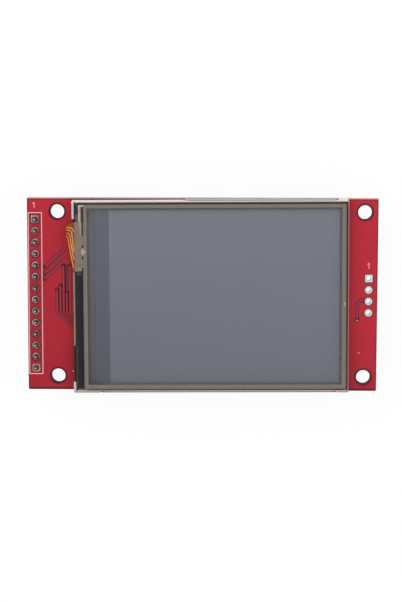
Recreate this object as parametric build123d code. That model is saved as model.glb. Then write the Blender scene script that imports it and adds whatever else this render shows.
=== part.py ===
"""A colour display module with a resistive touch panel, on a red circuit board with a row of header pins.

The frame: the board lies flat, +Z is out of the screen, +X runs from the pin header to the other end, and the
origin is the centre of the four mounting holes, on the board's back face. All sizes are in millimetres.
"""
from build123d import *
import os

# Circuit board
pcb_length = 77.18
pcb_width = 42.72
pcb_thickness = 1.6
pcb_corner = 0.3
copper = 0.04

# How far a cutting shape reaches past what it cuts
beyond = 1.0

# Mounting holes, by their distances from the board's edges
hole_radius = 1.55
hole_to_left_edge = 6.66
hole_to_right_edge = 2.92
hole_to_side_edge = 3.11

# Pin header at the left end, its plastic and its long pin ends on the back
pin_count = 14
pin_pitch = 2.54
header_to_left_edge = 1.73
pin_width = 0.64
pin_above_board = 1.35
pin_below_body = 6.0
pin_taper = 0.16
pin_taper_length = 0.29
header_body_width = 2.5
header_body_height = 2.54
header_notch = 0.45
header_drill = 0.53
header_pad_radius = 0.9

# Solder on each pin, a hollow-sided cone
solder_sides = 12
solder_knee_radius = 0.62
solder_knee_height = 0.3
solder_top_radius = 0.48
solder_height = 0.95

# Row of open plated holes at the right end, for the card's signals
signal_count = 4
signal_to_right_edge = 1.94
signal_drill = 0.5
signal_pad_radius = 0.92
signal_rows_down = 0.12

# Display, by its distances from the board's edges, and the slight shift and turn that it was stuck down with
lcd_to_left_edge = 10.23
lcd_to_right_edge = 6.45
lcd_to_side_edge = 0.0
lcd_shift_down = 0.12
lcd_turn = 0.4

# Thicknesses of the display's layers, from the board outwards
tape_thickness = 0.5
tray_sheet = 0.2
reflector_thickness = 0.08
guide_thickness = 0.6
diffuser_thickness = 0.08
prism_thickness = 0.08
rim_tape_thickness = 0.05
polarizer_thickness = 0.15
tft_thickness = 0.4
filter_thickness = 0.4
adhesive_thickness = 0.2
touch_glass_thickness = 0.7
ribbon_thickness = 0.1
ribbon_fold_flat = 0.02
touch_film_thickness = 0.2

# Backlight frame, a moulding with its left wall open for the ribbons
frame_height = 2.2
frame_long_wall = 0.86
frame_upper_rim = 0.7
frame_lower_rim = 0.54
frame_rebate_depth = 1.2
frame_left_wall = 0.55
frame_right_wall = 0.25
frame_corner = 0.3
frame_inset = 0.04
frame_upper_left_inset = 0.24
ribbon_exit_above_bottom = 2.46
ribbon_exit_below_top = 4.26

# Folded tray round the frame
tray_wall_height = 2.2
tray_bend = 0.2
tray_lip = 0.4
tray_top_wall_setback = 24.53
tray_bottom_wall_setback = 5.73
tray_wall_end_setback = 2.37
tray_end_slope = 0.3
tray_lip_slant = 1.3
tray_left_setback = 0.75
tray_clearance = 0.02
snap_count = 3
snap_length = 3.0
snap_height = 0.8
snap_clearance = 0.15
snap_edge_margin = 6.0

# Glasses and sheets inside the frame
glass_clearance = 0.1
glass_left_setback = 0.7
filter_ledge = 2.25
polarizer_inset = 0.3
sheet_clearance = 0.25
guide_left_setback = 3.2
rim_tape_width = 1.2
adhesive_left_width = 1.61
adhesive_right_width = 1.32
adhesive_lower_width = 0.9
adhesive_upper_width = 1.08
chip_length = 15.0
chip_width = 0.75
chip_thickness = 0.3
chip_to_filter = 0.15

# Light sources along the guide's left edge
led_count = 4
led_length = 2.8
led_depth = 0.8
led_height = 0.5
led_spacing = 8.0
led_strip_thickness = 0.1
led_strip_overhang = 0.3

# Display ribbon, bonded on the glass's ledge and folded round under the tray
display_ribbon_above_bottom = 10.48
display_ribbon_to_tail = 0.41
display_ribbon_bond = 0.85
display_ribbon_reach = 0.6
display_ribbon_bend = 0.5
display_ribbon_tail = 9.43
display_pad_count = 18
display_pad_pitch = 0.8
pad_length = 2.0
pad_width = 0.42

# Black tape over the ledge and the driver chip
ledge_tape_thickness = 0.1
ledge_tape_left_setback = 0.62
ledge_tape_right_setback = 2.75
ledge_tape_to_tail = 0.27
ledge_tape_above_bottom = 1.06
ledge_tape_tab_setback = 0.1
ledge_tape_tab_clearance = 0.1

# Touch panel
touch_side_clearance = 0.22
touch_right_clearance = 0.38
touch_ledge = 2.41
touch_upper_ledge = 1.46
touch_tab_ledge = 0.64
spacer_inset = 0.22
spacer_width = 0.7
tail_below_top = 4.86
tail_width = 10.76
touch_ribbon_bond = 0.6

# Touch ribbon: wide at the tail, a narrow neck at its fold
neck_below_top = 5.86
neck_width = 2.4
neck_shoulder = 0.3
neck_tail = 4.5
touch_pad_count = 4
touch_pad_pitch = 0.6

# Foam tape between the board and the tray
tape_left_setback = 13.0
tape_right_setback = 1.2
tape_side_inset = 2.0

# Card socket on the back
socket_width = 28.0
socket_depth = 27.0
socket_height = 2.85
socket_x = -1.5
socket_mouth_setback = 0.5
socket_sheet = 0.2
socket_bend = 0.3
socket_floor = 0.5
socket_rear_wall = 3.2
card_width = 24.2
socket_clearance = 0.05
grip_width = 12.0
grip_depth = 3.5
finger_spacing = 14.0
finger_length = 8.0
finger_width = 2.4
finger_slot = 0.5
socket_tab_length = 2.0
socket_tab_reach = 1.0
contact_count = 9
contact_pitch = 2.5
contact_width = 0.7
contact_sheet = 0.15
contact_tail = 1.2
contact_reach = 12.0
contact_bump = 0.5
contact_heel = 0.3
contact_step = 0.6
contact_bump_rise = 1.8
contact_tip = 1.2

# Small parts on the back
controller_length = 5.0
controller_width = 4.4
controller_height = 0.9
controller_lead_pitch = 0.65
controller_lead_count = 16
controller_lead_width = 0.22
controller_span = 6.4
controller_foot = 0.5
small_body_length = 2.9
small_body_width = 1.3
small_body_height = 1.0
small_lead_pitch = 0.95
small_lead_width = 0.4
small_span = 2.5
small_foot = 0.3
lead_sheet = 0.15
lead_slope = 0.14
body_standoff = 0.1
body_draft = 8
chip_part_length = 1.6
chip_part_width = 0.8
chip_terminal = 0.3
resistor_height = 0.45
capacitor_height = 0.8

# Their places in the two free strips beside the socket: share of the strip's width, height, turn in degrees
controller_place = (0.57, 8.5, 90)
regulator_place = (0.57, -12.5, 0)
transistor_place = (0.34, -9.0, 90)
left_resistors = [(0.31, 8.5, 90), (0.31, 5.5, 90), (0.87, -3.0, 0)]
right_resistors = [(0.34, -4.5, 0), (0.34, -2.0, 0)] + [(0.66, y, 0) for y in (3.8, 1.3, -1.3, -3.8)]
left_capacitors = [(0.38, -10.5, 90), (0.38, -14.0, 90), (0.76, -11.0, 90), (0.86, 9.0, 90)]
right_capacitors = [(0.3, 6.0, 0)]

# Places worked out from the sizes above
board_front = pcb_thickness
hole_spacing_x = pcb_length - hole_to_left_edge - hole_to_right_edge
hole_spacing_y = pcb_width - 2 * hole_to_side_edge
pcb_right = hole_spacing_x / 2 + hole_to_right_edge
pcb_left = pcb_right - pcb_length
half_width = pcb_width / 2
header_x = pcb_left + header_to_left_edge
signal_x = pcb_right - signal_to_right_edge
pad_top = board_front + copper
ribbon_bottom = pad_top + ribbon_thickness / 2

tray_bottom = board_front + tape_thickness
tray_top = tray_bottom + tray_sheet
reflector_top = tray_top + reflector_thickness
guide_top = reflector_top + guide_thickness
diffuser_top = guide_top + diffuser_thickness
lower_prism_top = diffuser_top + prism_thickness
upper_prism_top = lower_prism_top + prism_thickness
rim_tape_top = upper_prism_top + rim_tape_thickness
rear_polarizer_top = rim_tape_top + polarizer_thickness
tft_top = rear_polarizer_top + tft_thickness
filter_top = tft_top + filter_thickness
front_polarizer_top = filter_top + polarizer_thickness
adhesive_top = front_polarizer_top + adhesive_thickness
touch_glass_top = adhesive_top + touch_glass_thickness
spacer_top = touch_glass_top + ribbon_thickness
film_top = spacer_top + touch_film_thickness
frame_top = tray_top + frame_height

lcd_length = pcb_length - lcd_to_left_edge - lcd_to_right_edge
lcd_width = pcb_width - 2 * lcd_to_side_edge
lcd_right = lcd_length / 2
lcd_left = -lcd_right
lcd_high = lcd_width / 2
inner_right = lcd_right - frame_right_wall
inner_high = lcd_high - frame_long_wall
glass_left = lcd_left + glass_left_setback
glass_right = inner_right - glass_clearance
glass_high = inner_high - glass_clearance
filter_left = glass_left + filter_ledge
touch_left = lcd_left + touch_ledge
touch_right = inner_right - touch_right_clearance
touch_high = inner_high - touch_side_clearance
guide_left = lcd_left + guide_left_setback
tail_high = lcd_high - tail_below_top
tail_low = tail_high - tail_width
neck_high = lcd_high - neck_below_top
neck_low = neck_high - neck_width
ribbon_exit = (-lcd_high + ribbon_exit_above_bottom, lcd_high - ribbon_exit_below_top)
ledge_tape_span = (-lcd_high + ledge_tape_above_bottom, tail_low - ledge_tape_to_tail)
display_ribbon_span = (-lcd_high + display_ribbon_above_bottom, tail_low - display_ribbon_to_tail)
display_ribbon_y = sum(display_ribbon_span) / 2
tray_wall_starts = {1: lcd_left + tray_top_wall_setback, -1: lcd_left + tray_bottom_wall_setback}
tray_wall_end = lcd_right - tray_wall_end_setback
lcd_middle = (pcb_left + lcd_to_left_edge + pcb_right - lcd_to_right_edge) / 2
lcd_place = Location((lcd_middle, -lcd_shift_down, 0), (0, 0, lcd_turn))


def slab(x_span, y_span, z_span):
    """A block between two x, two y and two z values."""
    size = [high - low for low, high in (x_span, y_span, z_span)]
    corner = [low for low, high in (x_span, y_span, z_span)]
    return Pos(*corner) * Box(*size, align=(Align.MIN, Align.MIN, Align.MIN))


def ring(x_span, y_span, z_span, x_widths, y_widths):
    """A flat rectangular ring, by the widths of its left and right sides and of its lower and upper ones."""
    opening = slab(
        (x_span[0] + x_widths[0], x_span[1] - x_widths[1]),
        (y_span[0] + y_widths[0], y_span[1] - y_widths[1]),
        (z_span[0] - beyond, z_span[1] + beyond),
    )
    return slab(x_span, y_span, z_span) - opening


def disc(x, y, radius, z_span):
    """An upright round bar between two heights."""
    bar = Cylinder(radius, z_span[1] - z_span[0], align=(Align.CENTER, Align.CENTER, Align.MIN))
    return Pos(x, y, z_span[0]) * bar


def bent_strip(plane, points, radius, thickness, width):
    """A sheet strip along a bent middle line, centred on the plane. A radius of 0 bends it sharply."""
    line = FilletPolyline(*points, radius=radius) if radius else Polyline(*points)
    return extrude(plane * trace(line, line_width=thickness), amount=width / 2, both=True)


def centred_row(count, pitch, middle=0.0):
    """Places of an evenly spaced row about its middle, highest first."""
    return [middle + pitch * ((count - 1) / 2 - index) for index in range(count)]


def as_group(solids):
    """Separate solids kept as one node."""
    return Compound(children=list(solids))


pin_rows = centred_row(pin_count, pin_pitch)
signal_rows = centred_row(signal_count, pin_pitch, -signal_rows_down)
mounting_holes = [(x * hole_spacing_x / 2, y * hole_spacing_y / 2) for x in (-1, 1) for y in (-1, 1)]


def make_board():
    """The laminate with its mounting holes and drillings."""
    board = slab((pcb_left, pcb_right), (-half_width, half_width), (0, pcb_thickness))
    board = fillet(board.edges().filter_by(Axis.Z), pcb_corner)
    through = (-beyond, pcb_thickness + beyond)
    drillings = [disc(x, y, hole_radius, through) for x, y in mounting_holes]
    drillings += [disc(header_x, y, header_drill, through) for y in pin_rows]
    drillings += [disc(signal_x, y, signal_drill + copper, through) for y in signal_rows]
    return board - drillings


def pad_disc(x, y, radius, z_span, square):
    """A copper pad: square on the first hole of a row, round on the others."""
    if square:
        return slab((x - radius, x + radius), (y - radius, y + radius), z_span)
    return disc(x, y, radius, z_span)


def make_signal_holes():
    """Plated holes: a barrel through the board with a pad on each face."""
    spools = []
    for index, y in enumerate(signal_rows):
        spool = disc(signal_x, y, signal_drill + copper, (-copper, pad_top))
        spool += pad_disc(signal_x, y, signal_pad_radius, (board_front, pad_top), index == 0)
        spool += pad_disc(signal_x, y, signal_pad_radius, (-copper, 0), index == 0)
        spools.append(spool - disc(signal_x, y, signal_drill, (-beyond, pad_top + beyond)))
    return as_group(spools)


def pin_blank(y, extra=0.0):
    """The square wire of one pin, as long as the pin and as far past its ends as extra."""
    half = pin_width / 2
    low = -header_body_height - pin_below_body
    high = board_front + pin_above_board
    return slab((header_x - half, header_x + half), (y - half, y + half), (low - extra, high + extra))


def make_pin(y):
    """One pin, tapered at both ends."""
    pin = pin_blank(y)
    for index in (0, -1):
        end = pin.faces().sort_by(Axis.Z)[index]
        pin = chamfer(end.edges(), pin_taper, pin_taper_length, reference=end)
    return pin


def make_solder(y, square):
    """One pin's pad with its solder, which climbs the pin in a hollow curve of flat facets."""
    levels = [
        (header_pad_radius, pad_top),
        (solder_knee_radius, pad_top + solder_knee_height),
        (solder_top_radius, pad_top + solder_height),
    ]
    sections = [Pos(0, 0, z) * RegularPolygon(radius, solder_sides) for radius, z in levels]
    foot = RegularPolygon(header_pad_radius, solder_sides)
    if square:
        foot = Rectangle(2 * header_pad_radius, 2 * header_pad_radius)
    pad = extrude(Pos(0, 0, board_front) * foot, amount=copper)
    return Pos(header_x, y, 0) * (loft(sections, ruled=True) + pad) - pin_blank(y, extra=beyond)


def make_header_body():
    """The header's plastic: a notched bar, one chamfered cell for each pin."""
    cells = []
    for y in pin_rows:
        cell = Rectangle(header_body_width, pin_pitch)
        cells.append(Pos(header_x, y) * chamfer(cell.vertices(), header_notch))
    bar = extrude(Pos(0, 0, -header_body_height) * Sketch(children=cells), amount=header_body_height)
    bar = Part() + bar.solids()
    return bar - [pin_blank(y, extra=beyond) for y in pin_rows]


def tray_wall(side):
    """One long wall of the tray, rising from the base to an inward lip, with windows for the snaps."""
    outer = side * (lcd_high - tray_sheet / 2)
    base = tray_bottom + tray_sheet / 2
    top = tray_bottom + tray_wall_height - tray_sheet / 2
    lip = side * (lcd_high - tray_lip)
    root = side * (lcd_high - 2 * frame_long_wall)
    start = tray_wall_starts[side]
    length = tray_wall_end - start
    plane = Plane((start + length / 2, 0, 0), x_dir=(0, 1, 0), z_dir=(1, 0, 0))
    points = [(root, base), (outer, base), (outer, top), (lip, top)]
    wall = bent_strip(plane, points, tray_bend, tray_sheet, length)
    for x in snap_places(side):
        wall -= slab(
            (x - snap_length / 2, x + snap_length / 2),
            sorted((side * (lcd_high - 2 * tray_sheet), side * (lcd_high + beyond))),
            snap_span(0),
        )
    wall -= [end_slope(start, 1), end_slope(tray_wall_end, -1)]
    return wall - [lip_slant(side, start, 1), lip_slant(side, tray_wall_end, -1)]


def end_slope(x, direction):
    """The wedge cut from a wall's end, so that it slopes up from the base."""
    low = tray_top + tray_bend
    high = tray_bottom + tray_wall_height + beyond
    reach = tray_end_slope * (high - low) / (high - beyond - low)
    corners = [(x, low), (x, high), (x + direction * reach, high)]
    wedge = Plane.XZ * make_face(Polyline(*corners, close=True))
    return extrude(wedge, amount=lcd_width, both=True)


def lip_slant(side, x, direction):
    """The corner cut from a lip, so that it runs out in a slant towards the wall's end."""
    face, step, height = recess_faces()
    inner, outer = side * step, side * (lcd_high - tray_sheet)
    short = x + direction * tray_end_slope
    corners = [(x, inner), (x, outer), (short, outer), (short + direction * tray_lip_slant, inner)]
    return extrude(Pos(0, 0, height) * make_face(Polyline(*corners, close=True)), amount=beyond)


def snap_places(side):
    """Where the snaps lie along the wall on one side."""
    first = tray_wall_starts[side] + snap_edge_margin
    last = tray_wall_end - snap_edge_margin
    return [first + (last - first) * index / (snap_count - 1) for index in range(snap_count)]


def snap_span(clearance):
    """The heights of a snap's window, or of its bump inside that window."""
    middle = tray_top + frame_height / 2 - snap_height / 2
    return middle - snap_height / 2 + clearance, middle + snap_height / 2 - clearance


def make_tray():
    """The display's folded sheet tray: a base, and two long walls with lips."""
    bent = lcd_high - 2 * frame_long_wall
    base = slab((lcd_left, lcd_right), (-bent, bent), (tray_bottom, tray_top))
    for side, left_inset in ((-1, frame_inset), (1, frame_upper_left_inset)):
        left_edge = sorted((side * bent, side * (lcd_high - left_inset)))
        right_edge = sorted((side * bent, side * (lcd_high - frame_inset)))
        base += slab((lcd_left, tray_wall_starts[side]), left_edge, (tray_bottom, tray_top))
        base += slab((tray_wall_end, lcd_right), right_edge, (tray_bottom, tray_top))
    base -= slab((lcd_left - beyond, lcd_left + tray_left_setback), ribbon_exit, (0, frame_top))
    return base + tray_wall(1) + tray_wall(-1)


def make_frame():
    """The backlight's moulded frame: a thinner rim, recesses for the tray's walls, and snap bumps.

    Its upper edge stands further in on the left, where no tray wall covers it.
    """
    high = lcd_high - frame_inset
    through = (tray_top - beyond, frame_top + beyond)
    body = slab((lcd_left, lcd_right), (-high, high), (tray_top, frame_top))
    bare_edge = (lcd_high - frame_upper_left_inset, lcd_high + beyond)
    body -= slab((lcd_left - beyond, tray_wall_starts[1] - tray_clearance), bare_edge, through)
    upright = body.edges().filter_by(Axis.Z).group_by(Axis.X)
    body = fillet(upright[0] + upright[-1], frame_corner)
    inner_x = (lcd_left + frame_left_wall, inner_right)
    body -= slab(inner_x, (-inner_high, inner_high), through)
    rim_y = (-lcd_high + frame_lower_rim, lcd_high - frame_upper_rim)
    body -= slab(inner_x, rim_y, (frame_top - frame_rebate_depth, frame_top + beyond))
    body -= slab((lcd_left - beyond, filter_left), ribbon_exit, through)
    for side in (-1, 1):
        body -= wall_recess(side)
        body += [snap_bump(side, x) for x in snap_places(side)]
    return body


def recess_faces():
    """How far out the frame's recessed face lies, how far out its lip step lies, and the step's height."""
    face = lcd_high - tray_sheet - (tray_bend - tray_sheet / 2) - tray_clearance
    step = lcd_high - tray_lip - tray_clearance
    height = tray_bottom + tray_wall_height - tray_sheet - tray_clearance
    return face, step, height


def wall_recess(side):
    """What is taken from the frame where a tray wall and its lip lie."""
    face, step, height = recess_faces()
    x_span = (tray_wall_starts[side] - tray_clearance, tray_wall_end + tray_clearance)
    outside = side * (lcd_high + beyond)
    recess = slab(x_span, sorted((side * face, outside)), (tray_top - beyond, frame_top + beyond))
    return recess + slab(x_span, sorted((side * step, outside)), (height, frame_top + beyond))


def snap_bump(side, x):
    """A wedge on the frame's recessed face that catches in a window of the tray's wall."""
    face, step, height = recess_faces()
    low, high = snap_span(snap_clearance)
    tip = lcd_high - tray_sheet / 2
    corners = [(side * face, low), (side * tip, low), (side * tip, (low + high) / 2), (side * face, high)]
    plane = Plane((x, 0, 0), x_dir=(0, 1, 0), z_dir=(1, 0, 0))
    section = plane * make_face(Polyline(*corners, close=True))
    return extrude(section, amount=snap_length / 2 - snap_clearance, both=True)


def make_sheets():
    """The backlight's loose sheets and the rim tape on them, from the reflector up."""
    x_span = (guide_left, inner_right - sheet_clearance)
    y_span = (-inner_high + sheet_clearance, inner_high - sheet_clearance)
    strip_left = (lcd_left + frame_left_wall + sheet_clearance, x_span[1])
    tape_widths = (rim_tape_width, rim_tape_width)
    return {
        "reflector_sheet": slab((guide_left, x_span[1]), y_span, (tray_top, reflector_top)),
        "light_guide": slab(x_span, y_span, (reflector_top, guide_top)),
        "diffuser_film": slab(x_span, y_span, (guide_top, diffuser_top)),
        "lower_prism_film": slab(x_span, y_span, (diffuser_top, lower_prism_top)),
        "upper_prism_film": slab(x_span, y_span, (lower_prism_top, upper_prism_top)),
        "rim_tape": ring(strip_left, y_span, (upper_prism_top, rim_tape_top), tape_widths, tape_widths),
    }


def led_x_span():
    """The depth of the light sources, against the guide's left edge."""
    return guide_left - sheet_clearance - led_depth, guide_left - sheet_clearance


def make_led_strip():
    """The flexible strip that carries the light sources, on the tray's base."""
    back, front = led_x_span()
    half = (led_count - 1) / 2 * led_spacing + led_length
    return slab((back - led_strip_overhang, front), (-half, half), (tray_top, tray_top + led_strip_thickness))


def make_leds():
    """The light sources, facing the guide's edge."""
    low = tray_top + led_strip_thickness
    leds = []
    for y in centred_row(led_count, led_spacing):
        leds.append(slab(led_x_span(), (y - led_length / 2, y + led_length / 2), (low, low + led_height)))
    return as_group(leds)


def make_glasses():
    """The two display glasses and the polarizers on them."""
    inset_x = (filter_left + polarizer_inset, glass_right - polarizer_inset)
    inset_y = (-glass_high + polarizer_inset, glass_high - polarizer_inset)
    full_y = (-glass_high, glass_high)
    x_widths = (adhesive_left_width, adhesive_right_width)
    y_widths = (adhesive_lower_width, adhesive_upper_width)
    return {
        "rear_polarizer": slab(inset_x, inset_y, (rim_tape_top, rear_polarizer_top)),
        "tft_glass": slab((glass_left, glass_right), full_y, (rear_polarizer_top, tft_top)),
        "colour_filter_glass": slab((filter_left, glass_right), full_y, (tft_top, filter_top)),
        "front_polarizer": slab(inset_x, inset_y, (filter_top, front_polarizer_top)),
        "touch_adhesive": ring(inset_x, inset_y, (front_polarizer_top, adhesive_top), x_widths, y_widths),
    }


def make_driver_chip():
    """The driver chip, bonded on the glass's ledge beside the colour filter."""
    right = filter_left - chip_to_filter
    y_span = (display_ribbon_y - chip_length / 2, display_ribbon_y + chip_length / 2)
    return slab((right - chip_width, right), y_span, (tft_top, tft_top + chip_thickness))


def make_ledge_tape():
    """The black tape that covers the driver chip and the ribbon's bond, wider below the ribbon."""
    x_span = (lcd_left + ledge_tape_left_setback, lcd_left + ledge_tape_right_setback)
    low = tft_top + chip_thickness
    z_span = (low, low + ledge_tape_thickness)
    tab_low = ribbon_exit[0] + ledge_tape_tab_clearance
    tab_high = display_ribbon_span[0] - ledge_tape_tab_clearance
    tab = slab((lcd_left + ledge_tape_tab_setback, x_span[0]), (tab_low, tab_high), z_span)
    return slab(x_span, ledge_tape_span, z_span) + tab


def fold(left, top_end, bottom_end, top_z, middle_y, width, radius):
    """A ribbon whose top run turns down at its left end and back under, to lie on the pads of the board."""
    points = [(top_end, top_z), (left, top_z), (left, ribbon_bottom), (bottom_end, ribbon_bottom)]
    plane = Plane((0, middle_y, 0), x_dir=(1, 0, 0), z_dir=(0, -1, 0))
    return bent_strip(plane, points, radius, ribbon_thickness, width)


def make_display_ribbon():
    """The display's ribbon, from its bond on the ledge, round the edge, to the pads under the tray."""
    return fold(
        glass_left - display_ribbon_reach,
        glass_left + display_ribbon_bond,
        glass_left + display_ribbon_tail,
        tft_top + ribbon_thickness / 2,
        display_ribbon_y,
        display_ribbon_span[1] - display_ribbon_span[0],
        display_ribbon_bend,
    )


def touch_outline(z_span):
    """The touch panel's outline: a rectangle whose upper left part stands out as a ledge for the tail."""
    low, high = -touch_high, touch_high
    main = slab((touch_left, touch_right), (low, high), z_span)
    return main + slab((lcd_left + touch_upper_ledge, touch_left), (tail_low, high), z_span)


def make_touch_glass():
    """The touch panel's lower glass."""
    return touch_outline((adhesive_top, touch_glass_top))


def make_touch_film():
    """The touch panel's top film, with a tab over the ribbon's bond."""
    z_span = (spacer_top, film_top)
    tab = slab((lcd_left + touch_tab_ledge, touch_left), (tail_low, tail_high), z_span)
    return touch_outline(z_span) + tab


def make_touch_spacer():
    """The thin adhesive ring that holds the film off the glass."""
    return ring(
        (touch_left + spacer_inset, touch_right - spacer_inset),
        (-touch_high + spacer_inset, touch_high - spacer_inset),
        (touch_glass_top, spacer_top),
        (spacer_width, spacer_width),
        (spacer_width, spacer_width),
    )


def make_touch_ribbon():
    """The touch panel's ribbon: bonded under the film's tab, narrowing to a neck that folds under.

    Its turn is nearly a half circle: the radius is half the drop, less a small flat.
    """
    top_z = touch_glass_top + ribbon_thickness / 2
    middle_y = (tail_low + tail_high) / 2
    width = tail_high - tail_low
    bend_x = lcd_left + touch_tab_ledge - ribbon_thickness
    bond_end = lcd_left + touch_upper_ledge + touch_ribbon_bond
    turn = (top_z - ribbon_bottom) / 2
    ribbon = fold(
        bend_x - turn, bond_end, bend_x + neck_tail, top_z, middle_y, width, turn - ribbon_fold_flat
    )
    reach = (top_z - pad_top) / 2 + ribbon_thickness
    fold_x = bend_x - reach
    corners = [
        (bond_end + beyond, tail_high), (lcd_left + touch_tab_ledge, tail_high), (fold_x - beyond, neck_high),
        (fold_x - beyond, neck_low), (fold_x + neck_shoulder, neck_low),
        (lcd_left + touch_tab_ledge / 2, tail_low), (bond_end + beyond, tail_low),
    ]
    outline = make_face(Polyline(*corners, close=True))
    upper = extrude(Pos(0, 0, top_z - reach) * outline, amount=reach + beyond)
    neck_x = (fold_x - beyond, bend_x + neck_tail + beyond)
    neck = slab(neck_x, (neck_low, neck_high), (board_front, top_z - reach))
    return (ribbon & upper) + (ribbon & neck)


def make_ribbon_pads():
    """The pads on the board that the two ribbons are soldered to, given in the display's frame."""
    pads = []
    display_rows = centred_row(display_pad_count, display_pad_pitch, display_ribbon_y)
    touch_rows = centred_row(touch_pad_count, touch_pad_pitch, (neck_low + neck_high) / 2)
    rows = [
        (display_rows, glass_left + display_ribbon_tail),
        (touch_rows, lcd_left + touch_tab_ledge + neck_tail),
    ]
    for places, right in rows:
        for y in places:
            y_span = (y - pad_width / 2, y + pad_width / 2)
            pads.append(slab((right - pad_length, right), y_span, (board_front, pad_top)))
    return as_group(pads)


def make_mounting_tape():
    """The foam tape that holds the tray on the board, clear of the ribbons."""
    x_span = (lcd_left + tape_left_setback, lcd_right - tape_right_setback)
    y_span = (-lcd_high + tape_side_inset, lcd_high - tape_side_inset)
    return slab(x_span, y_span, (board_front, tray_bottom))


socket_mouth = half_width - socket_mouth_setback
socket_rear = socket_mouth - socket_depth
socket_places = centred_row(contact_count, contact_pitch, socket_x)
socket_reach = socket_width / 2 + socket_tab_reach
left_strip = (header_x + header_body_width / 2, socket_x - socket_reach)
right_strip = (socket_x + socket_reach, signal_x - signal_pad_radius)


def make_socket_body():
    """The card socket's moulding: a floor with a slot for each contact, two rails and a rear wall."""
    half = socket_width / 2 - socket_sheet - socket_clearance
    ceiling = -socket_height + socket_sheet + socket_clearance
    x_span = (socket_x - half, socket_x + half)
    body = slab(x_span, (socket_rear, socket_mouth - 2 * socket_clearance), (ceiling, 0))
    body -= slab(
        (socket_x - card_width / 2, socket_x + card_width / 2),
        (socket_rear + socket_rear_wall, socket_mouth + beyond),
        (ceiling - beyond, -socket_floor),
    )
    corner = socket_bend - socket_sheet / 2
    body = chamfer(body.edges().filter_by(Axis.Y).group_by(Axis.Z)[0].sort_by(Axis.X)[0], corner)
    body = chamfer(body.edges().filter_by(Axis.Y).group_by(Axis.Z)[0].sort_by(Axis.X)[-1], corner)
    half_slot = contact_width / 2 + socket_clearance
    for x in socket_places:
        body -= slab(
            (x - half_slot, x + half_slot),
            (socket_rear - beyond, socket_rear + contact_reach + beyond),
            (-socket_floor, beyond),
        )
    return body


def make_socket_shell():
    """The card socket's folded cover: a roof with two spring fingers and a grip cut-out, sides and tabs."""
    half = socket_width / 2
    middle = half - socket_sheet / 2
    roof = -socket_height + socket_sheet / 2
    flange = -socket_sheet / 2
    tab = half + socket_tab_reach
    plane = Plane((socket_x, (socket_rear + socket_mouth) / 2, 0), x_dir=(1, 0, 0), z_dir=(0, -1, 0))
    half_line = [(middle, roof), (middle, flange), (tab, flange)]
    points = [(-x, z) for x, z in reversed(half_line)] + half_line
    shell = bent_strip(plane, points, socket_bend, socket_sheet, socket_depth)
    shell -= [tab_gap(side) for side in (-1, 1)]
    grip = Ellipse(grip_width / 2, grip_depth)
    shell -= extrude(Pos(socket_x, socket_mouth, roof - beyond) * grip, amount=2 * beyond)
    for side in (-1, 1):
        shell -= finger_outline(socket_x + side * finger_spacing / 2)
    return shell


def tab_gap(side):
    """What is cut from one side's flange, so that a solder tab is left near each end."""
    inner = socket_x + side * socket_width / 2
    outer = inner + side * (socket_tab_reach + beyond)
    y_span = (socket_rear + socket_tab_length, socket_mouth - socket_tab_length)
    return slab(sorted((inner, outer)), y_span, (-socket_bend - socket_sheet, beyond))


def finger_outline(x):
    """The slot round three sides of one spring finger in the roof."""
    y_span = (socket_rear + socket_rear_wall, socket_rear + socket_rear_wall + finger_length)
    z_span = (-socket_height - beyond, -socket_height + 2 * socket_sheet)
    outer = slab((x - finger_width / 2, x + finger_width / 2), y_span, z_span)
    inner = slab(
        (x - finger_width / 2 + finger_slot, x + finger_width / 2 - finger_slot),
        (y_span[0] - beyond, y_span[1] - finger_slot),
        z_span,
    )
    return outer - inner


def make_socket_contacts():
    """The card contacts: a tail on the board, a run in the floor's slot, and a raised bump."""
    rest = -contact_sheet / 2
    run = -socket_floor + contact_sheet
    bump = -socket_floor - contact_bump
    end = socket_rear + contact_reach
    step = socket_rear + contact_heel
    points = [
        (socket_rear - contact_tail, rest), (step, rest), (step + contact_step, run),
        (end - contact_tip - contact_bump_rise, run), (end - contact_tip, bump), (end, run),
    ]
    contacts = []
    for x in socket_places:
        plane = Plane((x, 0, 0), x_dir=(0, 1, 0), z_dir=(1, 0, 0))
        contacts.append(bent_strip(plane, points, 0, contact_sheet, contact_width))
    return as_group(contacts)


def on_back(strip, place, shape):
    """A part drawn on the board's back face at the origin, moved and turned to its place in a strip."""
    share, y, turn = place
    x = strip[0] + share * (strip[1] - strip[0])
    return Location((x, y, 0), (0, 0, turn)) * shape


def moulded_body(length, width, height):
    """A chip's plastic: two halves that slope away from the leads' plane, held off the board."""
    middle = -body_standoff - height / 2
    upper = extrude(Pos(0, 0, middle) * Rectangle(length, width), amount=height / 2, taper=body_draft)
    lower = extrude(Pos(0, 0, middle) * Rectangle(length, width), amount=-height / 2, taper=body_draft)
    return upper + lower


def gull_lead(x, side, body_width, body_height, span, foot_length, width):
    """One lead: out of the body, down, and out again on the board."""
    middle = -body_standoff - body_height / 2
    foot = -lead_sheet / 2
    heel = span / 2 - foot_length
    points = [
        (side * body_width / 2, middle), (side * (heel - lead_slope), middle),
        (side * heel, foot), (side * span / 2, foot),
    ]
    plane = Plane((x, 0, 0), x_dir=(0, 1, 0), z_dir=(1, 0, 0))
    return bent_strip(plane, points, 0, lead_sheet, width)


def make_controller():
    """The touch controller: its body and its two rows of leads."""
    body = moulded_body(controller_length, controller_width, controller_height)
    leads = []
    for side in (-1, 1):
        for x in centred_row(controller_lead_count // 2, controller_lead_pitch):
            lead = gull_lead(
                x, side, controller_width, controller_height, controller_span, controller_foot,
                controller_lead_width,
            )
            leads.append(lead)
    return body, as_group(leads)


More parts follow.
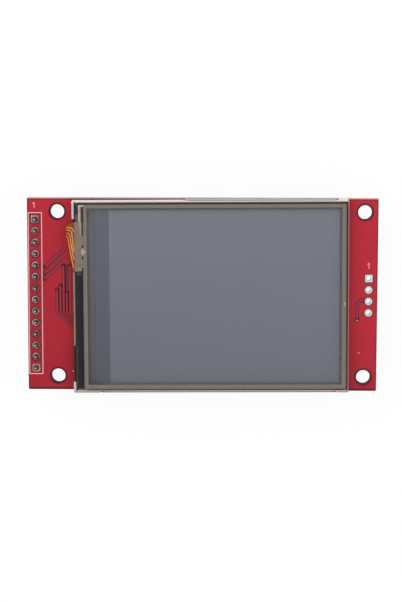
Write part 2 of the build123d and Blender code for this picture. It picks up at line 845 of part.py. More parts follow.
def make_three_lead_part():
    """A small three-lead part: two leads on one side and one on the other."""
    body = moulded_body(small_body_length, small_body_width, small_body_height)
    places = [(-small_lead_pitch, -1), (small_lead_pitch, -1), (0, 1)]
    leads = []
    for x, side in places:
        lead = gull_lead(
            x, side, small_body_width, small_body_height, small_span, small_foot, small_lead_width
        )
        leads.append(lead)
    return body, as_group(leads)


def chip_part(strip, place, height):
    """A chip resistor's or capacitor's body, and its two end terminals."""
    inner = chip_part_length / 2 - chip_terminal
    outer = chip_part_length / 2
    half = chip_part_width / 2
    body = slab((-inner, inner), (-half, half), (-height, 0))
    ends = [slab(sorted((side * inner, side * outer)), (-half, half), (-height, 0)) for side in (-1, 1)]
    return on_back(strip, place, body), [on_back(strip, place, end) for end in ends]


def make_chip_parts():
    """The chip resistors, the chip capacitors, and the terminals of both."""
    resistors = [chip_part(left_strip, place, resistor_height) for place in left_resistors]
    resistors += [chip_part(right_strip, place, resistor_height) for place in right_resistors]
    capacitors = [chip_part(left_strip, place, capacitor_height) for place in left_capacitors]
    capacitors += [chip_part(right_strip, place, capacitor_height) for place in right_capacitors]
    terminals = [end for body, ends in resistors + capacitors for end in ends]
    return {
        "resistor_bodies": as_group(body for body, ends in resistors),
        "capacitor_bodies": as_group(body for body, ends in capacitors),
        "chip_terminals": as_group(terminals),
    }


def board_parts():
    """The board and what is soldered to it."""
    parts = {
        "circuit_board": make_board(),
        "signal_holes": make_signal_holes(),
        "header_body": make_header_body(),
        "solder_joints": as_group(make_solder(y, square=y == pin_rows[0]) for y in pin_rows),
        "socket_shell": make_socket_shell(),
        "socket_body": make_socket_body(),
        "socket_contacts": make_socket_contacts(),
    }
    for number, y in enumerate(pin_rows, start=1):
        parts[f"header_pin_{number:02d}"] = make_pin(y)
    body, leads = make_controller()
    parts["touch_controller_body"] = on_back(left_strip, controller_place, body)
    parts["touch_controller_leads"] = on_back(left_strip, controller_place, leads)
    three_lead_parts = (
        ("voltage_regulator", left_strip, regulator_place),
        ("backlight_transistor", right_strip, transistor_place),
    )
    for name, strip, place in three_lead_parts:
        body, leads = make_three_lead_part()
        parts[f"{name}_body"] = on_back(strip, place, body)
        parts[f"{name}_leads"] = on_back(strip, place, leads)
    parts.update(make_chip_parts())
    return parts


def display_parts():
    """The display with its touch panel, in the display's own frame."""
    parts = {
        "ribbon_pads": make_ribbon_pads(),
        "mounting_tape": make_mounting_tape(),
        "display_tray": make_tray(),
        "backlight_frame": make_frame(),
        "led_strip": make_led_strip(),
        "backlight_leds": make_leds(),
        "driver_chip": make_driver_chip(),
        "display_ribbon": make_display_ribbon(),
        "ledge_tape": make_ledge_tape(),
        "touch_glass": make_touch_glass(),
        "touch_spacer": make_touch_spacer(),
        "touch_film": make_touch_film(),
        "touch_ribbon": make_touch_ribbon(),
    }
    parts.update(make_sheets())
    parts.update(make_glasses())
    return parts


os.makedirs("parts", exist_ok=True)
for node, shape in board_parts().items():
    export_step(shape, f"parts/{node}.step")
for node, shape in display_parts().items():
    export_step(lcd_place * shape, f"parts/{node}.step")
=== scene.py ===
"""Looks for a colour display module: a touch panel and display on a red board with a row of header pins.

Sizes and places are in millimetres, as in the solid model, and meshes are made in metres. +Z is out of the
screen and +X runs from the pin header to the other end. The display, its frame, its ribbons and its touch
panel lie in a frame of their own, turned and shifted a little on the board, which is called the display's.
"""
import math

import bmesh
import bpy
import numpy as np
from mathutils import Matrix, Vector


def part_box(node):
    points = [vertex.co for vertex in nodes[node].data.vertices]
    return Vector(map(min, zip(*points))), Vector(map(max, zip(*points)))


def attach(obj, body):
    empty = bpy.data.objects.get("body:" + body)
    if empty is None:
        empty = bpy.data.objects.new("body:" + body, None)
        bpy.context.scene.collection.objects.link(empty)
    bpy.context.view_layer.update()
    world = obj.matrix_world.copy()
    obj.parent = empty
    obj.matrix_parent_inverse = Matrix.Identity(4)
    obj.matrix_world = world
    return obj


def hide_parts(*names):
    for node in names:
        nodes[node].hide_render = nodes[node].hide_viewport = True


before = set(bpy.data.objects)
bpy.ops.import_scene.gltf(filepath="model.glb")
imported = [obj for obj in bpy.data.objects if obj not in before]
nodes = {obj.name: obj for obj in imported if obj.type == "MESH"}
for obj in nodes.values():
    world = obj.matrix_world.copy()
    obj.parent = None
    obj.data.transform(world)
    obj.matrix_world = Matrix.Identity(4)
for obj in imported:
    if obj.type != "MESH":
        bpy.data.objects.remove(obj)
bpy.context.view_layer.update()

MM = 0.001


def box_mm(node):
    """The lowest and highest corner of a solid, in millimetres."""
    low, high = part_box(node)
    return [value / MM for value in low], [value / MM for value in high]


def solid_boxes(node):
    """The boxes of a node's separate solids, as an array of (lowest, highest) corners in millimetres."""
    mesh = bmesh.new()
    mesh.from_mesh(nodes[node].data)
    bmesh.ops.remove_doubles(mesh, verts=mesh.verts, dist=0.01 * MM)
    unseen = set(mesh.verts)
    boxes = []
    while unseen:
        front = [unseen.pop()]
        corners = []
        while front:
            vertex = front.pop()
            corners.append(tuple(vertex.co))
            fresh = {edge.other_vert(vertex) for edge in vertex.link_edges} & unseen
            unseen -= fresh
            front.extend(fresh)
        corners = np.array(corners) / MM
        boxes.append((corners.min(axis=0), corners.max(axis=0)))
    mesh.free()
    return np.array(sorted(boxes, key=lambda box: (-round(box[0][1], 2), round(box[0][0], 2))))


# Places read from the solid model
board_low, board_high = box_mm("circuit_board")
board_left, board_right = board_low[0], board_high[0]
board_half_width = board_high[1]
board_front = board_high[2]
film_top = box_mm("touch_film")[1][2]
rim_top = box_mm("backlight_frame")[1][2]
header_pins = [f"header_pin_{number:02d}" for number in range(1, 15)]
pin_boxes = np.array([box_mm(node) for node in header_pins])
pin_places = pin_boxes.mean(axis=1)[:, :2]
floor_height = pin_boxes[:, 0, 2].min()
signal_boxes = solid_boxes("signal_holes")
signal_places = signal_boxes.mean(axis=1)[:, :2]

# The display's frame: how it was stuck down on the board
display_shift = (0.02, -0.12)
display_turn = math.radians(0.4)

# Mounting holes, header pads and signal pads
hole_centre = (33.8, 18.25)
hole_radius = 1.55
pin_width = 0.64
pad_radius = 0.9
signal_pad = 0.92
copper = 0.04


def paint(red, green, blue):
    """A colour given as it looks on a display, 0 to 255, as the linear colour that the shaders take."""
    shown = np.array([red, green, blue]) / 255
    linear = np.where(shown > 0.04045, ((shown + 0.055) / 1.055) ** 2.4, shown / 12.92)
    return (*(float(value) for value in linear), 1.0)


class Number:
    """A number in a node tree. Arithmetic on it adds Math nodes, in either order, so 1 - mask works too."""

    def __init__(self, graph, socket):
        self.graph = graph
        self.socket = socket

    def maths(self, operation, *parts):
        """One Math node on plain numbers and other Numbers."""
        return self.graph.number("Math", {"operation": operation}, dict(enumerate(parts)))

    def __add__(self, other):
        return self.maths("ADD", self, other)

    __radd__ = __add__

    def __sub__(self, other):
        return self.maths("SUBTRACT", self, other)

    def __rsub__(self, other):
        return self.maths("SUBTRACT", other, self)

    def __mul__(self, other):
        return self.maths("MULTIPLY", self, other)

    __rmul__ = __mul__

    def __truediv__(self, other):
        return self.maths("DIVIDE", self, other)

    def __pow__(self, other):
        return self.maths("POWER", self, other)

    def __abs__(self):
        return self.maths("ABSOLUTE", self)

    def least(self, other):
        """The smaller of two."""
        return self.maths("MINIMUM", self, other)

    def most(self, other):
        """The larger of two."""
        return self.maths("MAXIMUM", self, other)

    def across(self, other):
        """The length of two parts at right angles."""
        return (self * self + other * other) ** 0.5

    def sine(self):
        """The sine, in radians."""
        return self.maths("SINE", self)

    def above(self, edge, soft=0.02):
        """0 below the edge and 1 above it, with a ramp as wide as soft."""
        return self.graph.number("Clamp", {}, {"Value": (self - edge) / soft + 0.5})

    def below(self, edge, soft=0.02):
        """1 below the edge and 0 above it."""
        return 1 - self.above(edge, soft)

    def between(self, low, high, soft=0.02):
        """1 between two edges and 0 outside them."""
        return self.above(low, soft) * self.below(high, soft)

    def near(self, place, reach, soft=0.02):
        """1 within reach of a place and 0 away from it."""
        return abs(self - place).below(reach, soft)


class Graph:
    """A node tree under construction."""

    def __init__(self, tree):
        self.tree = tree

    def put(self, node, values):
        """Sets or links the sockets of a node, which are named or numbered."""
        for key, value in values.items():
            socket = node.inputs[key]
            value = value.socket if isinstance(value, Number) else value
            if isinstance(value, bpy.types.NodeSocket):
                self.tree.links.new(value, socket)
            else:
                socket.default_value = value
        return node

    def node(self, kind, settings=None, values=None):
        """A node of a type, with its settings set first and then its sockets."""
        node = self.tree.nodes.new("ShaderNode" + kind)
        for key, value in (settings or {}).items():
            setattr(node, key, value)
        return self.put(node, values or {})

    def number(self, kind, settings=None, values=None, output=0):
        """A node's output as a Number."""
        return Number(self, self.node(kind, settings, values).outputs[output])

    def split(self, vector):
        """The three parts of a vector."""
        parts = self.node("SeparateXYZ", {}, {0: vector})
        return [Number(self, parts.outputs[index]) for index in range(3)]


class Finish(Graph):
    """A material: one shader, and the numbers, colours and relief that feed it."""

    def __init__(self, name, **constants):
        self.material = bpy.data.materials.new(name)
        self.material.use_nodes = True
        super().__init__(self.material.node_tree)
        self.shader = self.tree.nodes["Principled BSDF"]
        self.feed(**constants)

    def feed(self, **sockets):
        """Sets or feeds the shader's sockets, written with underscores."""
        self.put(self.shader, {key.replace("_", " "): value for key, value in sockets.items()})
        return self.material

    def mapped(self, **values):
        """Object coordinates as seen from a frame with its own place, turn and scale, in metres."""
        values["Vector"] = self.node("TexCoord").outputs["Object"]
        return self.node("Mapping", {"vector_type": "TEXTURE"}, values).outputs[0]

    def places(self, turned=False):
        """Object coordinates in millimetres, in the board's frame, or in the display's frame where turned."""
        shift = (display_shift[0] * MM, display_shift[1] * MM, 0) if turned else (0, 0, 0)
        turn = (0, 0, display_turn if turned else 0)
        return self.split(self.mapped(Location=shift, Rotation=turn, Scale=(MM, MM, MM)))

    def noise(self, size, detail=2.0, stretch=(1, 1, 1)):
        """Soft noise whose lumps are about size millimetres across, longer where stretch is larger."""
        vector = self.mapped(Scale=tuple(MM * size * part for part in stretch))
        return self.number("TexNoise", {}, {"Vector": vector, "Scale": 1.0, "Detail": detail})

    def blend(self, factor, first, second):
        """The first colour where factor is 0 and the second where it is 1.

        A colour is an output of another node, or three numbers as paint takes them.
        """
        ends = [paint(*colour) if isinstance(colour, tuple) else colour for colour in (first, second)]
        return self.node("Mix", {"data_type": "RGBA"}, {0: factor, 6: ends[0], 7: ends[1]}).outputs[2]

    def coated(self, tone, *coats):
        """A tone under coats that are laid on in turn, each a mask and a colour."""
        for mask, colour in coats:
            tone = self.blend(mask, tone, colour)
        return tone

    def relief(self, height, depth):
        """A fine relief, depth millimetres high where height is 1."""
        values = {"Height": height, "Distance": depth * MM, "Strength": 1.0}
        self.feed(Normal=self.node("Bump", {}, values).outputs[0])


# Finishes of the board and what is soldered to it

# How much further out the mask's artwork reaches than the cut board, and the copper's margins inside it
cut_left, cut_right, cut_top, cut_bottom = 0.16, 0.12, -0.12, -0.1
edge_margin, hole_margin = 0.36, 0.42

# The tin on the pads: how metallic it looks, and how far from a signal pad's middle the mask laps over it
tin_shine = 0.45
mask_lap = 0.82


def solder_mask():
    """Red mask, dark where the copper stops short of an edge or a hole, with laminate on the cut sides.

    The board is cut a little off its artwork, so the dark margin is widest at the top and the bottom. A
    painted highlight lightens the very edge at the top and the right.
    """
    finish = Finish("red_solder_mask", Specular_IOR_Level=0.16)
    x, y, z = finish.places()
    cloud = finish.noise(9.0)
    weave = finish.noise(0.7)
    edge = (x - board_left + cut_left).least(board_right + cut_right - x)
    edge = edge.least(board_half_width + cut_top - y).least(board_half_width + cut_bottom + y)
    rim = (abs(x) - hole_centre[0]).across(abs(y) - hole_centre[1]) - hole_radius
    bare = edge.below(edge_margin, 0.14).most(rim.below(hole_margin, 0.18))
    mixed = cloud * 0.7 + weave * 0.3
    upper = finish.blend(mixed, (158, 26, 43), (178, 36, 49))
    lower = finish.blend(mixed, (144, 23, 39), (162, 32, 45))
    # Painted light and shade: a brighter red at the right, and painted shade that deepens the red towards the
    # bottom, more sharply at the right
    right = x.above(0.0, 60.0)
    painted_shade_fall = (1 - right) * y.below(0.0, 36.0) + right * y.below(-14.0, 16.0)
    painted_light_right_red = finish.blend(mixed, (162, 26, 43), (182, 36, 50))
    red = finish.blend(painted_shade_fall, finish.blend(right, upper, painted_light_right_red), lower)
    # Painted highlight along the very edge at the top and the right
    painted_highlight_edge = (board_half_width - y).below(0.24, 0.2).most((board_right - x).below(0.04, 0.08))
    masked = finish.coated(red, (bare, (84, 16, 30)), (painted_highlight_edge, (210, 168, 165)))
    cut = z.between(0.02, board_front - 0.02)
    layers = finish.noise(0.16, 1.0, (20, 20, 1))
    laminate = finish.blend(layers, (226, 196, 190), (250, 232, 226))
    # Painted shade: the walls of the mounting holes are darkened
    laminate = finish.blend(rim.below(0.08, 0.04), laminate, (70, 38, 36))
    finish.relief(weave * 0.6 + finish.noise(0.2, 1.0) * 0.4, 0.004)
    return finish.feed(
        Base_Color=finish.blend(cut, masked, laminate),
        Roughness=0.34 + weave * 0.08 + cut * 0.35,
    )


def plain_mask(name, dark, light, roughness):
    """Mask over a single layer: one red that varies a little."""
    finish = Finish(name, Specular_IOR_Level=0.28)
    speckle = finish.noise(0.8)
    finish.relief(finish.noise(0.3), 0.003)
    return finish.feed(Base_Color=finish.blend(speckle, dark, light), Roughness=roughness + speckle * 0.08)


def metal(name, dark, light, roughness, grain=(1, 1, 1), size=0.5, depth=0.003):
    """Bare or plated metal whose tone and shine vary along its grain."""
    finish = Finish(name, Metallic=1.0)
    speckle = finish.noise(size, 3.0, grain)
    patch = finish.noise(size * 6)
    finish.relief(speckle, depth)
    return finish.feed(
        Base_Color=finish.blend(speckle * 0.6 + patch * 0.4, dark, light),
        Roughness=roughness + speckle * 0.12 + patch * 0.06,
    )


def moulding(name, dark, light, roughness, size=0.15, depth=0.004):
    """Moulded plastic with a fine grain and slow changes of tone."""
    finish = Finish(name, Specular_IOR_Level=0.4)
    grain = finish.noise(size, 3.0)
    patch = finish.noise(size * 25)
    finish.relief(grain, depth)
    return finish.feed(
        Base_Color=finish.blend(patch * 0.7 + grain * 0.3, dark, light),
        Roughness=roughness + grain * 0.12,
    )


def solder_finish():
    """Tin-lead solder: a painted highlight at its foot, painted shade with some dulling by flux where it
    climbs the wire, and duller all over on the square pad.
    """
    finish = Finish("satin_solder", Metallic=0.9)
    y, z = finish.places()[1:]
    lump = finish.noise(0.3, 3.0)
    patch = finish.noise(1.7)
    # Painted highlight on the bright foot, and painted shade, with some dulling by flux, where the solder
    # climbs the wire
    foot = finish.blend(lump * 0.5 + patch * 0.5, (168, 158, 150), (236, 228, 222))
    dull = finish.blend(lump, (128, 110, 106), (214, 198, 194))
    foot = finish.blend(y.above(pin_places[0][1] - pad_radius, 0.05), foot, dull)
    painted_shade_climb = finish.blend(lump, (88, 84, 76), (142, 138, 126))
    finish.relief(lump, 0.05)
    return finish.feed(
        Base_Color=finish.blend(z.above(board_front + 0.3, 0.16), foot, painted_shade_climb),
        Roughness=0.22 + patch * 0.2,
    )


def pin_finish():
    """Gold-flashed wire, tinned and dulled by the solder above the board, with a painted highlight on its
    tip.
    """
    finish = Finish("gold_and_tin_wire", Metallic=1.0)
    z = finish.places()[2]
    draw = finish.noise(0.12, 2.0, (1, 1, 12))
    lump = finish.noise(0.2, 3.0)
    gold = finish.blend(draw, (196, 158, 84), (232, 200, 128))
    tin = finish.blend(lump, (84, 80, 70), (150, 144, 132))
    # Painted highlight on the flat tip of each pin
    painted_highlight_tip = finish.blend(lump, (150, 144, 132), (214, 208, 198))
    tin = finish.blend(z.above(tip_height - 0.06, 0.06), tin, painted_highlight_tip)
    finish.relief(draw, 0.004)
    return finish.feed(
        Base_Color=finish.blend(z.above(board_front, 0.5), gold, tin),
        Roughness=0.24 + draw * 0.14,
    )


def hot_tin(finish, dark, light):
    """The tone of hot tin, whose slight lumps give the finish its relief and roughness."""
    lump = finish.noise(0.5)
    finish.relief(lump, 0.02)
    finish.feed(Roughness=0.38 + lump * 0.14)
    return finish.blend(lump, dark, light)


def pad_finish():
    """Hot-tinned pads, bright and slightly uneven."""
    finish = Finish("bright_tin", Metallic=tin_shine)
    return finish.feed(Base_Color=hot_tin(finish, (206, 210, 210), (230, 233, 233)))


def signal_finish():
    """Tin on the open signal holes, with the red mask lapping over the outer edge of each front pad."""
    finish = Finish("tin_under_mask_edge")
    x, y, z = finish.places()
    away = abs(x - signal_places[0][0]).most(abs(y - signal_places[0][1]))
    for place_x, place_y in signal_places[1:]:
        away = away.least((x - place_x).across(y - place_y))
    lapped = away.above(mask_lap, 0.06) * z.above(board_front, 0.01)
    bright = hot_tin(finish, (176, 180, 180), (204, 207, 207))
    return finish.feed(
        Base_Color=finish.blend(lapped, bright, (88, 22, 34)),
        Metallic=tin_shine * (1 - lapped),
    )


def ink_finish(name, dark, light):
    """Printed ink with slightly ragged tone."""
    finish = Finish(name, Specular_IOR_Level=0.3)
    grain = finish.noise(0.18, 3.0)
    finish.relief(grain, 0.004)
    return finish.feed(Base_Color=finish.blend(grain, dark, light), Roughness=0.5 + grain * 0.15)


def resistor_finish():
    """White ceramic, black over the outer face, where the film and its coating are."""
    finish = Finish("coated_ceramic", Specular_IOR_Level=0.4)
    coat = finish.places()[2].below(-0.4, 0.03)
    grain = finish.noise(0.15, 3.0)
    black = finish.blend(grain, (22, 22, 24), (46, 46, 50))
    finish.relief(grain, 0.006)
    return finish.feed(
        Base_Color=finish.blend(coat, (222, 220, 214), black),
        Roughness=0.55 - coat * 0.2,
    )


# Finishes of the display and its touch panel, in the display's frame

window_left, window_right = -26.9, 28.67
window_low, window_high = -19.34, 19.45
screen_left, screen_right = -25.4, 28.2
screen_low, screen_high = -19.25, 19.0
screen_strip_right = -22.15
film_left, film_right, film_half_width = -27.84, 29.62, 20.28
display_half_length, display_half_width = 30.25, 21.36
ledge_right, teal_end, red_end = -28.6, 19.4, 18.0
track_pitch = 0.18
ribbon_fold_line = -29.82
tape_left, tape_painted_reflection_from = -29.46, 4.75
tab_right, tab_top = -29.35, -11.0
tray_bend, tray_edge, tray_groove, tray_lower_lip = 21.14, 21.3, 21.03, -20.85
tray_right_rim, frame_right_rim = 29.9, 29.95

# The clear window's gloss where it is seen head on, and what is added where it is seen along its surface
head_on_gloss, grazing_gloss = 0.025, 0.4


def outside_by(x, y):
    """How far outside the printed border's opening a place is."""
    across = (window_left - x).most(x - window_right)
    return across.most((window_low - y).most(y - window_high))


def clear_window(finish, window, shine, gloss_roughness):
    """Puts a clear, slightly shiny window into a material's printed surface."""
    gloss = finish.node("BsdfPrincipled", {}, {
        "Base Color": paint(255, 255, 255), "Metallic": 1.0, "Roughness": gloss_roughness,
    })
    clear = finish.node("BsdfTransparent")
    glass = finish.node("MixShader", {}, {0: shine, 1: clear.outputs[0], 2: gloss.outputs[0]})
    whole = finish.node("MixShader", {}, {0: window, 1: finish.shader.outputs[0], 2: glass.outputs[0]})
    finish.put(finish.tree.nodes["Material Output"], {"Surface": whole.outputs[0]})
    return finish.material


def silver_and_slots(finish, x, y, tone, grain):
    """The silver contacts, dark slots and worn dots of the touch film's border, over its tone."""
    notch = x.below(-28.7, 0.08) * y.above(16.5, 0.1)
    silver = x.between(-28.68, -28.32, 0.12) * y.between(16.5, 20.2, 0.2)
    silver = silver.most(x.between(-28.7, -27.54, 0.2) * y.between(19.75, 20.15, 0.15))
    stripe = x.near(-28.3, 0.14, 0.14) * y.between(13.4, 16.6, 0.4) * 0.4
    ink = finish.blend(grain, (120, 108, 98), (200, 188, 178))
    slot = x.near(-27.82, 0.22, 0.1) * y.between(16.4, 19.85, 0.2)
    slot = slot.most(x.near(-27.83, 0.14, 0.1) * y.between(13.45, 16.6, 0.2))
    for slot_x, slot_y, half in ((-27.84, 11.17, 0.3), (-27.86, 8.66, 0.3), (-27.85, 6.08, 0.42)):
        slot = slot.most(x.near(slot_x, 0.17, 0.1) * y.near(slot_y, half, 0.1))
    tone = finish.coated(tone, (notch, (46, 52, 50)), (silver.most(stripe), ink), (slot, (16, 12, 10)))
    ragged = (grain - 0.5) * 0.8
    dots = ((-27.8, 9.97, 0.38, 0.66), (-27.2, 9.97, 0.2, 0.18), (29.3, -1.6, 0.14, 0.45))
    for dot_x, dot_y, wide, tall in dots:
        apart = ((x - dot_x) * (x - dot_x) / wide**2 + (y - dot_y) * (y - dot_y) / tall**2) ** 0.5 + ragged
        tone = finish.blend(apart.below(1.0, 0.5), tone, (160, 144, 126))
    patch = x.between(-28.9, -28.15, 0.2) * y.near(6.2, 0.3, 0.25) * 0.15
    return finish.blend(patch, tone, (180, 170, 155))


def touch_print():
    """A clear film with a two-tone printed border, a tail tab with its silver dots, and a clear window."""
    finish = Finish("printed_touch_film", Specular_IOR_Level=0.3)
    x, y, z = finish.places(turned=True)
    grain = finish.noise(0.45, 3.0)
    mottle = finish.noise(1.6)
    away = outside_by(x, y)
    inner = finish.blend(grain, (99, 96, 88), (112, 108, 100))
    outer = finish.blend(grain, (102, 89, 84), (119, 106, 101))
    speckled = finish.blend(grain * 0.5 + mottle * 0.5, (80, 68, 58), (140, 122, 110))
    tab = x.below(film_left + 0.05, 0.3)
    tone = finish.coated(inner, (away.above(0.42, 0.25), outer), (tab, speckled))
    tone = silver_and_slots(finish, x, y, tone, grain)
    # A dark line along the film's right and top edges and at the tab's lower left: partly the edge of the
    # adhesive, partly painted shade of the gap beside the film
    rim = (film_right - x).least(film_half_width - y).below(0.07, 0.05)
    rim = rim.most(x.below(film_left + 0.2, 0.16) * y.below(5.6, 0.05))
    tone = finish.blend(rim, tone, (84, 76, 69))
    finish.relief(grain, 0.003)
    finish.feed(Base_Color=tone, Roughness=0.45 + grain * 0.1)
    facing = finish.number("LayerWeight", {}, {"Blend": 0.5}, output=1)
    shine = (head_on_gloss + facing ** 4 * grazing_gloss) * z.above(film_top - 0.01, 0.004)
    return clear_window(finish, away.below(0.0, 0.05), shine, gloss_roughness=0.24)


def touch_glass_finish():
    """Thin clear glass, with dark ground edges."""
    finish = Finish("ground_edge_glass", Specular_IOR_Level=0.4)
    x, y = finish.places(turned=True)[:2]
    ground = finish.noise(0.1, 3.0)
    patch = finish.noise(2.2)
    finish.relief(ground, 0.006)
    edge = finish.blend(ground * 0.4 + patch * 0.6, (34, 28, 25), (78, 70, 63))
    finish.feed(Base_Color=edge, Roughness=0.45)
    return clear_window(finish, outside_by(x, y).below(0.6, 0.1), 0.008 + 0.01 * ground, gloss_roughness=0.1)


def dark_screen():
    """The unlit display under a matt polarizer: a light area, a blue-grey strip beside it, dark margins, and
    a painted reflection that makes it lighter towards the top.
    """
    finish = Finish("unlit_display", Specular_IOR_Level=0.2, Roughness=0.5)
    x, y = finish.places(turned=True)[:2]
    mottle = finish.noise(14.0, 1.0)
    grain = finish.noise(0.4, 1.0)
    # Painted reflection: the light area and the strip grow lighter towards the top
    height = (y + 20.0) / 40.0 + (mottle - 0.5) * 0.3
    light = finish.blend(height.above(0.5, 1.0), (92, 96, 108), (106, 110, 122))
    strip = finish.blend(height.above(0.5, 1.0), (61, 67, 81), (79, 82, 97))
    margin = 1 - x.between(screen_left, screen_right, 0.1) * y.between(screen_low, screen_high, 0.1)
    finish.relief(grain, 0.0006)
    return finish.feed(Base_Color=finish.coated(
        strip,
        (x.above(screen_strip_right, 0.14), light),
        (margin, (73, 71, 77)),
        (x.near(screen_left + 0.2, 0.12, 0.15) * 0.4, (84, 82, 88)),
    ))


def ribbon_finish(name, dark, light, specular):
    """Polyimide film over copper: amber, with faint long streaks."""
    finish = Finish(name, Specular_IOR_Level=specular)
    streak = finish.noise(0.5, 2.0, (4, 1, 1))
    patch = finish.noise(3.0)
    finish.relief(streak, 0.003)
    return finish.feed(
        Base_Color=finish.blend(streak * 0.5 + patch * 0.5, dark, light),
        Roughness=0.34 + streak * 0.15,
    )


def adhesive_finish():
    """Grey adhesive, darker at the left and darkest at the lower left."""
    finish = Finish("grey_adhesive_frame", Specular_IOR_Level=0.3)
    x, y = finish.places(turned=True)[:2]
    grain = finish.noise(0.3, 3.0)
    even = finish.blend(grain, (77, 76, 78), (90, 89, 91))
    left = finish.blend(y.below(0.0, 40.0), (84, 82, 87), (62, 61, 67))
    return finish.feed(
        Base_Color=finish.blend(x.below(-24.0, 1.0), even, left),
        Roughness=0.55 + grain * 0.1,
    )


def display_ribbon_finish():
    """The display's ribbon: dark brown, with a pale line at the outside of its fold."""
    finish = Finish("folded_display_ribbon", Specular_IOR_Level=0.3)
    x = finish.places(turned=True)[0]
    grain = finish.noise(0.35, 3.0)
    brown = finish.blend(finish.noise(3.0), (48, 36, 30), (72, 58, 48))
    pale = finish.blend(grain, (70, 56, 50), (176, 156, 140))
    finish.relief(grain, 0.004)
    return finish.feed(
        Base_Color=finish.blend(x.below(ribbon_fold_line, 0.08), brown, pale),
        Roughness=0.4 + grain * 0.15,
    )


def tape_finish():
    """Black tape with fine wrinkles: a brown left edge, a painted blue-grey reflection at its top end and a
    green-black tab.
    """
    finish = Finish("black_tape", Specular_IOR_Level=0.18)
    x, y = finish.places(turned=True)[:2]
    wrinkle = finish.noise(0.9, 3.0, (1, 2.5, 1))
    tab = y.below(tab_top, 0.2) * x.below(tab_right, 0.12)
    tone = finish.coated(
        finish.blend(wrinkle, (20, 19, 24), (38, 36, 42)),
        (x.below(tape_left, 0.12) * 0.8, (40, 28, 22)),
        # Painted reflection at the tape's top end
        (x.near(-28.75, 0.5, 0.2) * y.above(tape_painted_reflection_from, 0.5) * 0.8, (86, 90, 100)),
        (tab, (24, 28, 24)),
        (tab * x.near(-29.44, 0.1, 0.1) * wrinkle, (84, 90, 80)),
    )
    finish.relief(wrinkle, 0.012)
    return finish.feed(Base_Color=tone, Roughness=0.45 + wrinkle * 0.15)


def white_frame():
    """White moulding: darker at the bottom, with painted shade inside and a painted red reflection of the
    board at the right.

    Painted shade makes it dark down in the slit round the touch film.
    """
    finish = Finish("white_frame_plastic", Specular_IOR_Level=0.4)
    x, y, z = finish.places(turned=True)
    grain = finish.noise(0.3, 3.0)
    patch = finish.noise(7.0)
    mixed = patch * 0.7 + grain * 0.3
    clean = finish.blend(mixed, (206, 195, 193), (236, 228, 225))
    left = finish.blend(mixed, (172, 160, 156), (204, 192, 188))
    bottom = finish.blend(mixed, (140, 136, 134), (172, 166, 164))
    right = finish.blend(mixed, (150, 92, 94), (180, 118, 120))
    inward = (x + display_half_length).least(display_half_width - abs(y))
    painted_shade_slit = (display_half_length - x).above(0.28, 0.03) * z.below(4.35, 0.1) * inward.above(0.66, 0.05)
    # The left wall, the lower wall, painted shade on the inner faces and the left wall's step, a painted red
    # reflection of the board on the right rim, and painted shade in the slit
    tone = finish.coated(
        clean,
        (x.below(-29.7, 0.1) * y.below(20.6, 0.3), left),
        (y.below(-20.9, 0.1), bottom),
        (inward.above(0.55, 0.12), (184, 178, 174)),
        (inward.above(0.4, 0.1) * x.below(-29.5, 0.1), (132, 130, 126)),
        (x.above(frame_right_rim, 0.1) * z.above(rim_top - 0.2, 0.1), right),
        (painted_shade_slit, (76, 68, 61)),
    )
    finish.relief(grain, 0.004)
    return finish.feed(Base_Color=tone, Roughness=0.4 + grain * 0.12)


def tray_steel():
    """Tinned steel, darker on its upper edge and its lower lip, with painted shade at the lower lip's inner
    edge and a painted red reflection of the board at the right.
    """
    finish = Finish("tinned_steel", Metallic=1.0)
    x, y, z = finish.places(turned=True)
    speckle = finish.noise(0.5, 3.0, (8, 1, 1))
    patch = finish.noise(3.0)
    lips = z.above(4.0, 0.1)
    # The upper wall's bend, its edge and the line under it, the lower lip, painted shade at its inner edge,
    # and a painted red reflection of the board on the right rim
    tone = finish.coated(
        finish.blend(speckle * 0.6 + patch * 0.4, (200, 196, 190), (236, 232, 226)),
        (y.above(tray_bend, 0.1), (190, 184, 180)),
        (y.above(tray_edge, 0.06), (166, 160, 156)),
        (y.near(tray_groove, 0.08, 0.08) * lips, (118, 112, 108)),
        (y.below(tray_lower_lip, 0.1), (158, 153, 149)),
        (y.above(tray_lower_lip - 0.01, 0.08) * y.below(0.0) * lips, (84, 78, 72)),
        (x.above(tray_right_rim, 0.1) * z.above(rim_top - 0.2, 0.1), (160, 104, 105)),
    )
    finish.relief(speckle, 0.003)
    return finish.feed(Base_Color=tone, Roughness=0.34 + speckle * 0.12 + patch * 0.06)


def ledge_glass():
    """Display glass over fine tracks: teal, reddish black and grey-green on the ledge, brown elsewhere."""
    finish = Finish("tracked_display_glass", Specular_IOR_Level=0.4)
    x, y = finish.places(turned=True)[:2]
    track = (y * (2 * math.pi / track_pitch)).sine() * 0.5 + 0.5
    patch = finish.noise(1.2)
    teal = finish.blend(track * 0.4 + patch * 0.6, (20, 32, 30), (66, 88, 80))
    middle = finish.blend(patch, (28, 18, 24), (54, 46, 50))
    lower = finish.blend(patch, (60, 78, 62), (128, 140, 122))
    inner = finish.blend(patch, (40, 32, 28), (64, 54, 48))
    tone = finish.coated(
        teal,
        (y.below(teal_end, 0.5), middle),
        (y.below(red_end, 0.4), lower),
        (x.above(ledge_right, 0.3), inner),
    )
    return finish.feed(Base_Color=tone, Roughness=0.2 + patch * 0.12)


def led_finish():
    """A white package round a yellow face."""
    finish = Finish("white_and_phosphor", Specular_IOR_Level=0.4)
    x = finish.places(turned=True)[0]
    grain = finish.noise(0.1)
    yellow = finish.blend(grain, (226, 196, 84), (240, 214, 110))
    return finish.feed(
        Base_Color=finish.blend(x.above(-27.34, 0.05), (236, 234, 226), yellow),
        Roughness=0.4 + grain * 0.2,
    )


# Meshes

disc_cells = 8
ring_sides = 32


